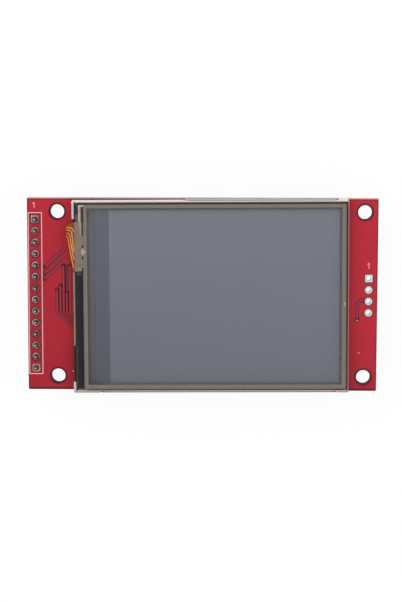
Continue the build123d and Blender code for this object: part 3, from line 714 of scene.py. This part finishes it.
def grid_faces(rows, columns, wrap_rows=False, wrap_columns=False):
    """Four-sided faces between neighbouring points of a grid, which may close on itself either way."""
    row = np.arange(rows if wrap_rows else rows - 1)[:, None]
    column = np.arange(columns if wrap_columns else columns - 1)[None, :]
    next_row, next_column = (row + 1) % rows, (column + 1) % columns
    corners = [
        row * columns + column, next_row * columns + column,
        next_row * columns + next_column, row * columns + next_column,
    ]
    return np.stack(corners, axis=-1).reshape(-1, 4)


def make_piece(name, shells, material):
    """One object that rides on the board, from shells of points in millimetres and four-sided faces."""
    starts = np.cumsum([0] + [len(points) for points, faces in shells[:-1]])
    points = np.concatenate([points for points, faces in shells]) * MM
    faces = np.concatenate([faces + start for (_, faces), start in zip(shells, starts)])
    mesh = bpy.data.meshes.new(name)
    mesh.from_pydata(points.tolist(), [], faces.tolist())
    mesh.update()
    mesh.materials.append(material)
    piece = bpy.data.objects.new(name, mesh)
    bpy.context.scene.collection.objects.link(piece)
    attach(piece, "root")
    return piece


def smooth(piece):
    """Smooth shading over the whole piece."""
    flags = np.ones(len(piece.data.polygons), dtype=bool)
    piece.data.polygons.foreach_set("use_smooth", flags)
    return piece


def plate(upper, lower):
    """A closed solid between two grids of points, x along the rows and y along the columns.

    The upper grid faces up, the lower one down, and a wall of one face per edge joins their rims.
    """
    rows, columns = upper.shape[:2]
    index = np.arange(rows * columns).reshape(rows, columns)
    rim = np.concatenate([index[0, :-1], index[:-1, -1], index[-1, :0:-1], index[:0:-1, 0]])
    ahead = np.roll(rim, -1)
    top = grid_faces(rows, columns)
    wall = np.stack([rim, ahead, ahead + index.size, rim + index.size], axis=1)
    points = np.concatenate([upper.reshape(-1, 3), lower.reshape(-1, 3)])
    return points, np.concatenate([top, top[:, ::-1] + index.size, wall])


def level_plate(flat, low, high):
    """A plate whose grid of (x, y) points is the same at both heights."""
    level = np.ones(flat.shape[:2] + (1,))
    return plate(np.dstack([flat, level * high]), np.dstack([flat, level * low]))


def block(x_span, y_span, low, high):
    """A flat block between two x and two y values."""
    return level_plate(np.stack(np.meshgrid(x_span, y_span, indexing="ij"), axis=-1), low, high)


def disc(x, y, radius, low, high):
    """A flat disc: the square grid (u, v) drawn in to u sqrt(1 - v^2 / 2), v sqrt(1 - u^2 / 2)."""
    u, v = np.meshgrid(*2 * [np.linspace(-1, 1, disc_cells + 1)], indexing="ij")
    round_grid = np.stack([u * np.sqrt(1 - v**2 / 2), v * np.sqrt(1 - u**2 / 2)], axis=-1)
    return level_plate(round_grid * radius + (x, y), low, high)


def strip(path, width, low, high, closed=False):
    """A flat strip along a path of (x, y) points.

    Its section is a rectangle from low to high, width across. At each corner the side points lie on the line
    that halves the angle, width / (2 cos(turn / 2)) from the path, so that the strip keeps its width.
    """
    path = np.asarray(path, float)
    ahead = np.roll(path, -1, 0) - path
    behind = path - np.roll(path, 1, 0)
    if not closed:
        ahead[-1] = behind[-1]
        behind[0] = ahead[0]
    ahead /= np.linalg.norm(ahead, axis=1, keepdims=True)
    behind /= np.linalg.norm(behind, axis=1, keepdims=True)
    middle = ahead + behind
    middle /= np.linalg.norm(middle, axis=1, keepdims=True)
    across = np.stack([-middle[:, 1], middle[:, 0]], axis=1)
    across /= np.sum(middle * ahead, axis=1, keepdims=True)
    left, right = path + across * width / 2, path - across * width / 2
    level = np.ones((len(path), 1))
    ring = np.stack([
        np.hstack([left, level * high]), np.hstack([left, level * low]),
        np.hstack([right, level * low]), np.hstack([right, level * high]),
    ], axis=1)
    faces = grid_faces(len(path), 4, wrap_rows=closed, wrap_columns=True)[:, ::-1]
    if not closed:
        last = 4 * (len(path) - 1)
        faces = np.vstack([faces, [[0, 1, 2, 3]], [[last + 3, last + 2, last + 1, last]]])
    return ring.reshape(-1, 3), faces


def flat_ring(x, y, inner, outer, low, high):
    """A flat ring about a point: a rectangle from the inner to the outer radius, turned round."""
    angle = np.linspace(0, 2 * np.pi, ring_sides, endpoint=False)[:, None]
    radius = np.array([[outer, outer, inner, inner]])
    height = np.array([[low, high, high, low]]) * np.ones((ring_sides, 1))
    points = np.stack([x + radius * np.cos(angle), y + radius * np.sin(angle), height], axis=-1)
    return points.reshape(-1, 3), grid_faces(ring_sides, 4, True, True)


def rectangle(x_span, y_span):
    """The four corners between two x and two y values, in turn."""
    (x0, x1), (y0, y1) = x_span, y_span
    return [(x0, y0), (x1, y0), (x1, y1), (x0, y1)]


def square(x, y, half):
    """The four corners of a square about a point."""
    return rectangle((x - half, x + half), (y - half, y + half))


# Solder on the header's pins

solder_reach = 0.82
solder_height = 0.9
solder_rows = 24
solder_sides = 64
square_power, rounded_power, round_power = 9.0, 4.0, 2.0
tip_height = pin_boxes[:, 1, 2].max()


def outline_radius(angle, half, power):
    """The radius, at an angle, of a rounded square |x|^p + |y|^p = half^p: p = 2 is a circle."""
    return half / (np.abs(np.cos(angle)) ** power + np.abs(np.sin(angle)) ** power) ** (1 / power)


def solder_joint(index, x, y, dice):
    """One joint: t runs from the pad's rim (0) to the pin (1), and the angle runs round the pin.

    The radius goes straight from the pad's outline to the pin's. The height is a rounded foot plus a hollow
    rise, foot (1 - (1 - t)^4) + rise t^power, with slow lumps that vanish at both ends.
    """
    first, last = index == 0, index == len(pin_places) - 1
    t = np.linspace(0, 1, solder_rows)[:, None]
    angle = np.linspace(0, 2 * np.pi, solder_sides, endpoint=False)[None, :]
    pad_power = square_power if first else (rounded_power if last else round_power)
    pad_half = solder_reach * (1.08 if first or last else dice.uniform(0.94, 1.02))
    pad = outline_radius(angle, pad_half, pad_power)
    pin = outline_radius(angle, pin_width / 2 + 0.015, square_power)
    reach = pad + (pin - pad) * t
    power = dice.uniform(2.2, 3.2)
    rise = solder_height * dice.uniform(0.75, 1.0)
    lean, lean_angle = dice.uniform(0.03, 0.08), dice.uniform(0, 2 * np.pi)
    lumps = lean * np.cos(angle - lean_angle) + 0.02 * np.cos(3 * angle + dice.uniform(0, 6))
    foot = dice.uniform(0.16, 0.24)
    height = foot * (1 - (1 - t) ** 4) + (rise - foot) * t**power + lumps * np.sin(np.pi * t)
    base = board_front + copper / 2
    points = np.stack([x + reach * np.cos(angle), y + reach * np.sin(angle), base + height], axis=-1)
    skirt, inner = points[:1].copy(), points[-1:].copy()
    skirt[..., 2] = inner[..., 2] = board_front
    surface = np.concatenate([skirt, points, inner])
    return surface.reshape(-1, 3), grid_faces(len(surface), solder_sides, True, True)[:, ::-1]


def make_solder(finish):
    """All the joints as one piece, in the place of the plain cones."""
    dice = np.random.default_rng(14)
    shells = [solder_joint(index, x, y, dice) for index, (x, y) in enumerate(pin_places)]
    piece = smooth(make_piece("solder_fillets", shells, finish))
    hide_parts("solder_joints")


# What is etched and printed on the front of the board, in layers above its face

gap_layer = (board_front, board_front + 0.012)
track_layer = (board_front, board_front + 0.03)
via_layer = (board_front, board_front + 0.036)
ink_layer = (board_front, board_front + 0.024)
speck_layer = (board_front, board_front + 0.042)
track_width = 0.34
gap_width = 0.88
signal_gap = 0.12
pin_gap = 0.28
pin_gap_start = pad_radius - 0.06
via_hole, via_radius, via_gap = 0.16, 0.36, 0.2
via_spot = 0.2
speck_radius = 0.13
box_line_width = 0.17
numeral_line_width = 0.14
numeral_stroke = [(-0.35, 0.3), (0, 0.6), (0, -0.6)]

bus_places = [(-33.95, 1.1), (-33.24, 2.0), (-32.53, 6.5), (-31.82, 0.5), (-31.11, 6.5)]
bus_bend = -4.05
display_edge = -29.9
slant_tracks = [
    [(-36.75, 5.9), (-32.2, 10.1)],
    [(-36.92, 4.42), (-32.5, 8.4)],
    [(-36.92, 3.2), (-33.2, 6.4)],
]
signal_track = [(33.9, -1.3), (33.13, -1.0), (32.36, -1.9), (32.32, -5.6)]
front_vias = [(-32.15, 8.0), (-35.48, -5.11), (32.61, 12.62), signal_track[-1]]
white_specks = [(32.78, -12.89), (-30.55, -17.25), signal_track[-1]]
merged_gap = ((-32.25, -31.58), (0.86, 6.4))  # above the short middle track, whose neighbours' gaps meet
header_box = ((-40.2, -37.26), (-17.87, 17.95))
one_places = [(-38.88, 19.62), (34.79, 6.45)]
wall_end_patch_box = ((-30.34, -29.8), (15.6, 16.75))


def bus_tracks():
    """Five parallel tracks that come down beside the display and slant under it."""
    return [
        [(x, top), (x, bus_bend), (display_edge, bus_bend - (display_edge - x))] for x, top in bus_places
    ]


def pad_clearance(x, y, half, gap, is_square):
    """The ring round a pad where the copper stops short of it."""
    if is_square:
        return strip(square(x, y, half + gap / 2), gap, *gap_layer, closed=True)
    return flat_ring(x, y, half, half + gap, *gap_layer)


def numeral_one(x, y):
    """A plain numeral 1 beside a first pin, one stroke with a flag."""
    return strip(np.array(numeral_stroke) + (x, y), numeral_line_width, *ink_layer)


def front_artwork(dark, red, deep, ink):
    """Tracks with their clearances, pad clearances, vias and silkscreen."""
    tracks = bus_tracks() + slant_tracks + [signal_track]
    gaps = [strip(path, gap_width, *gap_layer) for path in tracks]
    gaps += [disc(*path[0], gap_width / 2, *gap_layer) for path in tracks]
    gaps.append(block(*merged_gap, *gap_layer))
    for places, half, gap in ((signal_places, signal_pad, signal_gap), (pin_places, pin_gap_start, pin_gap)):
        gaps += [pad_clearance(x, y, half, gap, index == 0) for index, (x, y) in enumerate(places)]
    gaps.append(flat_ring(*signal_track[-1], via_radius, via_radius + via_gap, *gap_layer))
    make_piece("front_clearances", gaps, dark)
    raised = [strip(path, track_width, *track_layer) for path in tracks]
    raised += [disc(*path[0], track_width / 2, *track_layer) for path in tracks]
    raised += [flat_ring(x, y, via_hole, via_radius, *track_layer) for x, y in front_vias]
    make_piece("front_tracks", raised, red)
    spots = [disc(x, y, via_spot, *via_layer) for x, y in front_vias]
    make_piece("front_vias", spots, deep)
    prints = [strip(rectangle(*header_box), box_line_width, *ink_layer, closed=True)]
    prints += [numeral_one(x, y) for x, y in one_places]
    prints += [disc(x, y, speck_radius, *speck_layer) for x, y in white_specks]
    make_piece("front_silkscreen", prints, ink)


def wall_end_patch(black):
    """A thin black patch on the board, past the end of the frame's left wall."""
    make_piece("frame_wall_end_patch", [block(*wall_end_patch_box, *ink_layer)], black)


# Copper tracks on the touch panel's ribbon, over its fold

fold_x, fold_middle, fold_radius = -29.73, 3.525, 1.845
ribbon_routes = [
    (15.25, [(-30.5, 15.22), (-29.95, 14.9), (-29.7, 14.2)]),
    (14.72, [(-30.75, 14.68), (-30.3, 14.35), (-30.1, 13.3), (-29.95, 11.6), (-29.78, 10.0)]),
    (14.04, [(-31.0, 13.98), (-30.68, 13.6), (-30.52, 12.6), (-30.3, 11.2), (-30.05, 9.8), (-29.8, 8.2)]),
    (13.36, [(-31.3, 13.24), (-31.1, 12.7), (-30.88, 11.6), (-30.6, 10.1), (-30.34, 8.8), (-29.88, 6.4)]),
]
route_width = 0.25
route_height = 0.04
route_sink = 0.02
route_steps = 12
arch_points = 7


def on_fold(path, lift):
    """Places (s, y) on the ribbon: s is 0 where the flat top begins and grows round the fold to the left.

    For s > 0 the point is on the round fold, x = fold_x - r sin(s / r), z = fold_middle + r cos(s / r). For
    s < 0 it lies on the flat top, at x = fold_x - s.
    """
    s, y = path[..., 0], path[..., 1]
    radius = fold_radius + lift
    bend = np.clip(s, 0, None) / fold_radius
    x = np.where(s > 0, fold_x - radius * np.sin(bend), fold_x - s)
    z = np.where(s > 0, fold_middle + radius * np.cos(bend), fold_middle + radius)
    turn = np.cos(display_turn), np.sin(display_turn)
    board_x = turn[0] * x - turn[1] * y + display_shift[0]
    board_y = turn[1] * x + turn[0] * y + display_shift[1]
    return np.stack([board_x, board_y, z], axis=-1)


def smooth_path(points, steps):
    """A path through all the points but the first and last, as cubic pieces that share their slopes.

    Each piece is P1 + (P2 - P0) t / 2 + (2 P0 - 5 P1 + 4 P2 - P3) t^2 / 2 + (3 P1 - P0 - 3 P2 + P3) t^3 / 2.
    """
    points = np.asarray(points, float)
    p0, p1, p2, p3 = (points[start:len(points) - 3 + start, None] for start in range(4))
    t = np.linspace(0, 1, steps, endpoint=False)[None, :, None]
    pieces = p1 + (p2 - p0) * t / 2 + (2 * p0 - 5 * p1 + 4 * p2 - p3) * t**2 / 2
    pieces = pieces + (3 * p1 - p0 - 3 * p2 + p3) * t**3 / 2
    return np.vstack([pieces.reshape(-1, 2), points[-2:-1]])


def over_fold(x):
    """How far round the ribbon from its flat top a place seen from above at x is."""
    return fold_radius * np.arcsin(np.clip((fold_x - x) / fold_radius, -1, 1))


def ribbon_track(row, route):
    """One rounded track: straight round the fold along its row, then along its route.

    The section is a low arch, height sin(pi u) over the width u.
    """
    underside = fold_radius * np.pi * 0.8
    points = [(underside + 1.0, row), (underside, row), (underside / 2, row)]
    points += [(over_fold(x), y) for x, y in route]
    points.append(2 * np.array(points[-1]) - points[-2])
    line = smooth_path(points, route_steps)
    along = np.gradient(line, axis=0)
    along /= np.linalg.norm(along, axis=1, keepdims=True)
    side = np.stack([-along[:, 1], along[:, 0]], axis=1)
    u = np.linspace(0, 1, arch_points)
    flat = line[:, None, :] + side[:, None, :] * (0.5 - u)[None, :, None] * route_width
    arch = np.sin(np.pi * u)[None, :, None]
    face = on_fold(flat, 0.0)
    upper = face + (on_fold(flat, route_height) - face) * arch
    return plate(upper, on_fold(flat, -route_sink))


def ribbon_tracks(copper_finish):
    """The four tracks of a resistive panel."""
    shells = [ribbon_track(row, route) for row, route in ribbon_routes]
    smooth(make_piece("touch_ribbon_tracks", shells, copper_finish))


# What is etched, printed and soldered on the back of the board, in layers below its face

back_track_layer = (-0.03, 0.0)
back_pad_layer = (-0.036, 0.0)
back_ink_layer = (-0.042, 0.0)
back_track_width = 0.3
power_track_width = 0.8
pad_margin = 0.07
toe_reach = 0.38
toe_bare = 0.04
solder_tuck = 0.03
solder_film = 0.01
outline_margin = 0.25
outline_width = 0.15
back_via_radius = 0.34
first_lead_dot, first_lead_shift = 0.22, (-1.4, -0.5)
chip_solder_rise, lead_solder_rise = 0.28, 0.12

# Margins of the printed boxes at the left, the right, the lower and the upper side. The card socket's box
# ends at the top a little inside the board's edge.
socket_margins = (0.4, 0.4, 1.7, -0.3)
header_margins = (0.1, 0.3, 0.3, 0.3)
signal_margins = (0.3, 0.3, 0.3, 0.3)
chip_end_margin = 0.3

# Routes of the back's tracks, each after the header pin that it starts from
pin_routes = {
    0: [(-36.9, 16.51), (-36.5, 16.11), (-33.2, 16.11), (-32.8, 15.71), (-17.7, 15.71)],
    1: [(-36.6, 13.97), (-36.2, 14.37), (-17.7, 14.37)],
    2: [(-33.6, 11.43), (-32.2, 12.83), (-17.7, 12.83)],
    3: [(-34.4, 8.89), (-34.14, 9.15), (-31.2, 9.15)],
    4: [(-34.0, 6.35), (-33.8, 6.15), (-31.2, 6.15)],
    5: [(-33.6, 3.81), (-32.6, 4.85), (-31.2, 4.85)],
    6: [(-30.4, 1.27), (-26.4, 5.2), (-26.4, 5.7)],
    7: [(-22.0, -1.27), (-20.2, -3.0), (-19.9, -3.0)],
    8: [(-17.7, -3.81)],
    10: [(-31.5, -8.89), (-29.51, -10.0)],
    12: [(-30.4, -13.97), (-29.6, -14.7)],
}
free_routes = [
    [(-22.6, 10.78), (-20.6, 10.78), (-19.44, 9.7)],
    [(-22.6, 6.23), (-20.4, 6.23), (-19.44, 7.2), (-19.44, 8.3)],
    [(-18.5, -3.0), (-17.7, -3.0)],
    [(27.7, 3.8), (29.6, 3.8), (29.74, 3.69), (34.1, 3.69)],
    [(27.7, 1.3), (29.8, 1.3), (29.95, 1.15), (34.1, 1.15)],
    [(27.7, -1.3), (29.8, -1.3), (29.9, -1.39), (34.1, -1.39)],
    [(27.7, -3.8), (29.8, -3.8), (29.93, -3.93), (34.1, -3.93)],
    [(26.2, 3.8), (23.6, 3.8), (22.0, 2.2), (14.6, 2.2)],
    [(26.2, 1.3), (23.4, 1.3), (22.9, 0.8), (14.6, 0.8)],
    [(26.2, -1.3), (24.2, -1.3), (23.7, -0.8), (14.6, -0.8)],
    [(21.4, -9.95), (24.0, -9.95), (30.0, -16.0)],
    [(21.4, -8.05), (21.4, -5.6), (21.07, -4.7)],
]
back_vias = [
    (-17.7, 15.71), (-17.7, 14.37), (-17.7, 12.83), (14.6, 2.2), (14.6, 0.8), (14.6, -0.8), (30.0, -16.0),
    (-17.7, -3.81), (-17.7, -3.0), *front_vias,
]

# The parts with leads, each after the axis along which its outline's bars lie beyond it
leaded_parts = {"touch_controller": 1, "voltage_regulator": 0, "backlight_transistor": 1}


def outward(box, bodies, is_lead):
    """The axis and the way in which a terminal points: away from the nearest body, along its own length."""
    middle, size = box.mean(axis=0)[:2], (box[1] - box[0])[:2]
    axis = int(np.argmax(size)) if is_lead else int(np.argmin(size))
    body_middles = bodies.mean(axis=1)[:, :2]
    nearest = body_middles[np.argmin(np.linalg.norm(body_middles - middle, axis=1))]
    return axis, 1 if middle[axis] > nearest[axis] else -1


def back_pad(box, bodies, is_lead):
    """The pad under one terminal, which reaches past its outer end."""
    axis, way = outward(box, bodies, is_lead)
    spans = [[box[0][0], box[1][0]], [box[0][1], box[1][1]]]
    spans[1 - axis] = [spans[1 - axis][0] - pad_margin, spans[1 - axis][1] + pad_margin]
    spans[axis][1 if way > 0 else 0] += way * toe_reach
    return block(*spans, *back_pad_layer)


def back_solder(box, bodies, is_lead, rise):
    """The solder at one terminal's outer end, rise (1 - t)^2 (1 - v^4) high.

    t runs outwards from the terminal's face and v runs across it, from -1 to 1.
    """
    axis, way = outward(box, bodies, is_lead)
    t, v = np.linspace(0, 1, 9), np.linspace(-1, 1, 9)
    along = box[1 if way > 0 else 0][axis] + way * (t * (toe_reach - toe_bare) - solder_tuck)
    half = (box[1] - box[0])[1 - axis] / 2 + pad_margin / 2
    across = box.mean(axis=0)[1 - axis] + v * half
    height = rise * np.outer((1 - t) ** 2, 1 - v**4) + solder_film
    if way < 0:
        along, height = along[::-1], height[::-1]
    first, second = np.meshgrid(along, across, indexing="ij")
    x, y = (first, second) if axis == 0 else (second.T, first.T)
    height = height if axis == 0 else height.T
    face = np.full(x.shape, back_pad_layer[0])
    return plate(np.dstack([x, y, face]), np.dstack([x, y, face - height]))


def printed_box(low, high, left, right, below, above):
    """A printed rectangle round a box, with a margin on each of its four sides."""
    corners = rectangle((low[0] - left, high[0] + right), (low[1] - below, high[1] + above))
    return strip(corners, outline_width, *back_ink_layer, closed=True)


def part_outline(box, reach):
    """A printed rectangle round a small part, reach past its body along its length."""
    margin = [outline_margin, outline_margin]
    margin[int(np.argmax((box[1] - box[0])[:2]))] += reach
    return printed_box(*box, *np.repeat(margin, 2))


def end_bars(box, axis):
    """Two printed bars, just past a body's two ends along an axis."""
    bars = []
    for corner, way in ((0, -1), (1, 1)):
        place = box[corner][axis] + way * outline_margin
        spans = [(box[0][0], box[1][0]), (box[0][1], box[1][1])]
        spans[axis] = (place - outline_width / 2, place + outline_width / 2)
        bars.append(block(*spans, *back_ink_layer))
    return bars


def back_artwork(tin, solder, red, deep, ink):
    """Pads and solder at each terminal, tracks, vias and the parts' outlines."""
    chips = np.concatenate([solid_boxes("resistor_bodies"), solid_boxes("capacitor_bodies")])
    bodies_of = {name: solid_boxes(f"{name}_body") for name in leaded_parts}
    groups = [("chip_terminals", chips, False, chip_solder_rise)]
    groups += [(f"{name}_leads", bodies, True, lead_solder_rise) for name, bodies in bodies_of.items()]
    pads, joints = [], []
    for node, bodies, is_lead, rise in groups:
        for box in solid_boxes(node):
            pads.append(back_pad(box, bodies, is_lead))
            joints.append(back_solder(box, bodies, is_lead, rise))
    make_piece("back_pads", pads, tin)
    smooth(make_piece("back_solder", joints, solder))
    tracks = []
    for pin, route in pin_routes.items():
        width = back_track_width if pin > 1 else power_track_width
        tracks.append(strip([pin_places[pin]] + route, width, *back_track_layer))
    tracks += [strip(route, back_track_width, *back_track_layer) for route in free_routes]
    make_piece("back_tracks", tracks, red)
    vias = [disc(x, y, back_via_radius, *back_pad_layer) for x, y in back_vias]
    make_piece("back_vias", vias, deep)
    shell_low, shell_high = box_mm("socket_shell")
    signals = signal_boxes[:, 0].min(axis=0), signal_boxes[:, 1].max(axis=0)
    prints = [
        printed_box(shell_low, (shell_high[0], board_half_width), *socket_margins),
        printed_box(*box_mm("header_body"), *header_margins),
        printed_box(*signals, *signal_margins),
    ]
    prints += [part_outline(box, chip_end_margin + toe_reach) for box in chips]
    for name, axis in leaded_parts.items():
        prints += end_bars(bodies_of[name][0], axis)
    corner = bodies_of["touch_controller"][0][0]
    prints.append(disc(*(corner[:2] + first_lead_shift), first_lead_dot, *back_ink_layer))
    make_piece("back_silkscreen", prints, ink)


# Finishes of the solids

red_mask = solder_mask()
dark_mask = plain_mask("bare_laminate_mask", (94, 17, 34), (114, 25, 42), 0.36)
track_mask = plain_mask("mask_over_track", (142, 27, 43), (164, 38, 53), 0.34)
via_mask = plain_mask("mask_over_via", (112, 8, 22), (134, 18, 34), 0.3)
white_ink = ink_finish("white_ink", (216, 160, 166), (240, 190, 194))
back_ink = ink_finish("white_ink_behind", (214, 208, 204), (236, 232, 228))
tin = pad_finish()
solder = solder_finish()
wire = pin_finish()
shell_steel = metal("socket_steel", (170, 170, 168), (208, 208, 206), 0.26, (1, 10, 1))
black_plastic = moulding("black_header_plastic", (20, 20, 22), (36, 36, 38), 0.42)
chip_plastic = moulding("matt_chip_plastic", (28, 28, 30), (44, 44, 46), 0.6, 0.08, 0.008)
socket_plastic = moulding("dark_socket_plastic", (24, 24, 26), (40, 40, 42), 0.5)
foam = moulding("white_foam_tape", (206, 204, 198), (236, 234, 230), 0.8, 0.12, 0.03)
grey_adhesive = adhesive_finish()
amber = ribbon_finish("amber_ribbon", (106, 50, 16), (136, 70, 26), 0.22)
pale_ribbon = display_ribbon_finish()
gold_track = ribbon_finish("amber_over_copper", (186, 106, 46), (232, 148, 78), 0.42)
black_tape = tape_finish()
display_glass = ledge_glass()
screen = dark_screen()
clear_film = moulding("milky_film", (206, 210, 212), (228, 231, 233), 0.3, 0.4, 0.002)
reflector = moulding("white_reflector", (232, 233, 234), (246, 247, 248), 0.35, 0.5, 0.002)
silicon = metal("dark_silicon", (62, 64, 70), (92, 94, 102), 0.2, (1, 1, 1), 0.8, 0.001)
capacitor = moulding("tan_ceramic", (138, 104, 76), (172, 136, 104), 0.5, 0.12, 0.006)

leads = [f"{name}_leads" for name in leaded_parts]
chip_bodies = [f"{name}_body" for name in leaded_parts]
films = ["light_guide", "diffuser_film", "lower_prism_film", "upper_prism_film"]
finishes = [
    (red_mask, ["circuit_board"]), (signal_finish(), ["signal_holes"]), (solder, ["solder_joints"]),
    (tin, ["ribbon_pads", "chip_terminals"] + leads), (wire, ["socket_contacts"] + header_pins),
    (black_plastic, ["header_body"]), (shell_steel, ["socket_shell"]), (socket_plastic, ["socket_body"]),
    (chip_plastic, chip_bodies), (resistor_finish(), ["resistor_bodies"]), (capacitor, ["capacitor_bodies"]),
    (foam, ["mounting_tape"]), (tray_steel(), ["display_tray"]), (white_frame(), ["backlight_frame"]),
    (amber, ["led_strip", "touch_ribbon"]), (pale_ribbon, ["display_ribbon"]),
    (led_finish(), ["backlight_leds"]), (silicon, ["driver_chip"]), (reflector, ["reflector_sheet"]),
    (black_tape, ["ledge_tape", "touch_spacer", "rim_tape"]), (grey_adhesive, ["touch_adhesive"]),
    (touch_glass_finish(), ["touch_glass"]), (touch_print(), ["touch_film"]), (clear_film, films),
    (screen, ["rear_polarizer", "front_polarizer"]), (display_glass, ["tft_glass", "colour_filter_glass"]),
]
for material, dressed in finishes:
    for node in dressed:
        nodes[node].data.materials.clear()
        nodes[node].data.materials.append(material)

make_solder(solder)
front_artwork(dark_mask, track_mask, via_mask, white_ink)
wall_end_patch(black_tape)
ribbon_tracks(gold_track)
back_artwork(tin, solder, track_mask, via_mask, back_ink)


# Floor, light and camera

floor_half = 1500.0
floor_glow = 0.92
studio_level, studio_rise, studio_side, studio_least = 0.5, 0.42, 0.12, 0.25


def add_floor():
    """A white floor that keeps a faint shadow, and shows as white to the camera and in reflections."""
    finish = Finish("white_floor")
    path = finish.node("LightPath")
    rays = [Number(finish, path.outputs[f"Is {kind} Ray"]) for kind in ("Camera", "Glossy", "Transmission")]
    matt = finish.node("BsdfDiffuse", {}, {"Color": paint(242, 242, 242)})
    glow = finish.node("Emission", {}, {"Color": (1, 1, 1, 1), "Strength": 1.0})
    seen = rays[0].most(rays[1]).most(rays[2]) * floor_glow
    mixed = finish.node("MixShader", {}, {0: seen, 1: matt.outputs[0], 2: glow.outputs[0]})
    finish.put(finish.tree.nodes["Material Output"], {"Surface": mixed.outputs[0]})
    corners = np.array([(x, y, floor_height) for x, y in square(0, 0, floor_half)]) * MM
    mesh = bpy.data.meshes.new("floor")
    mesh.from_pydata(corners.tolist(), [], [(0, 1, 2, 3)])
    mesh.materials.append(finish.material)
    floor = bpy.data.objects.new("floor", mesh)
    bpy.context.scene.collection.objects.link(floor)


def add_world():
    """A white surround for the camera, and for all else a soft studio, brightest above and upper left."""
    world = bpy.data.worlds.new("studio")
    bpy.context.scene.world = world
    world.use_nodes = True
    graph = Graph(world.node_tree)
    x, y, z = graph.split(graph.node("TexCoord").outputs["Generated"])
    level = studio_level + z * studio_rise + (y - x) * studio_side
    seen = Number(graph, graph.node("LightPath").outputs["Is Camera Ray"])
    strength = seen + (1 - seen) * level.most(studio_least)
    graph.put(graph.tree.nodes["Background"], {"Color": (1, 1, 1, 1), "Strength": strength})


def facing(place):
    """A placement, in metres, whose -Z looks at the origin and whose Y leans up the board."""
    back = place / np.linalg.norm(place)
    right = np.cross([0, 1, 0], back)
    right /= np.linalg.norm(right)
    columns = np.stack([right, np.cross(back, right), back], axis=1)
    return Matrix.Translation(place) @ Matrix(columns.tolist()).to_4x4()


def add_lamp(name, place, size, power):
    """A square soft lamp that faces the middle of the board."""
    light = bpy.data.lights.new(name, "AREA")
    light.shape = "SQUARE"
    light.size = size
    light.energy = power
    lamp = bpy.data.objects.new(name, light)
    lamp.matrix_world = facing(np.array(place, float))
    bpy.context.scene.collection.objects.link(lamp)


# The camera's place, its three small turns from straight down, and its lens, worked out from the photograph
camera_place = (5.6562, 41.5507, 362.2057)
camera_turns = (6.7802, -1.2673, -0.0991)
camera_lens = 98.53
camera_sensor = 36.0


def add_camera():
    """The camera at the photograph's viewing angle."""
    data = bpy.data.cameras.new("camera")
    data.lens = camera_lens
    data.sensor_width = camera_sensor
    data.clip_start = 0.01
    turn = Matrix.Identity(3)
    for degrees, axis in zip(camera_turns, "XYZ"):
        turn = turn @ Matrix.Rotation(math.radians(degrees), 3, axis)
    camera = bpy.data.objects.new("camera", data)
    place = Matrix.Translation([value * MM for value in camera_place])
    camera.matrix_world = place @ turn.transposed().to_4x4()
    bpy.context.scene.collection.objects.link(camera)
    bpy.context.scene.camera = camera


add_floor()
add_world()
add_lamp("key_lamp", place=(-0.34, 0.34, 0.62), size=0.36, power=1.75)
add_lamp("fill_lamp", place=(0.36, -0.1, 0.55), size=0.5, power=1.15)
add_camera()
bpy.context.scene.view_settings.view_transform = "Standard"
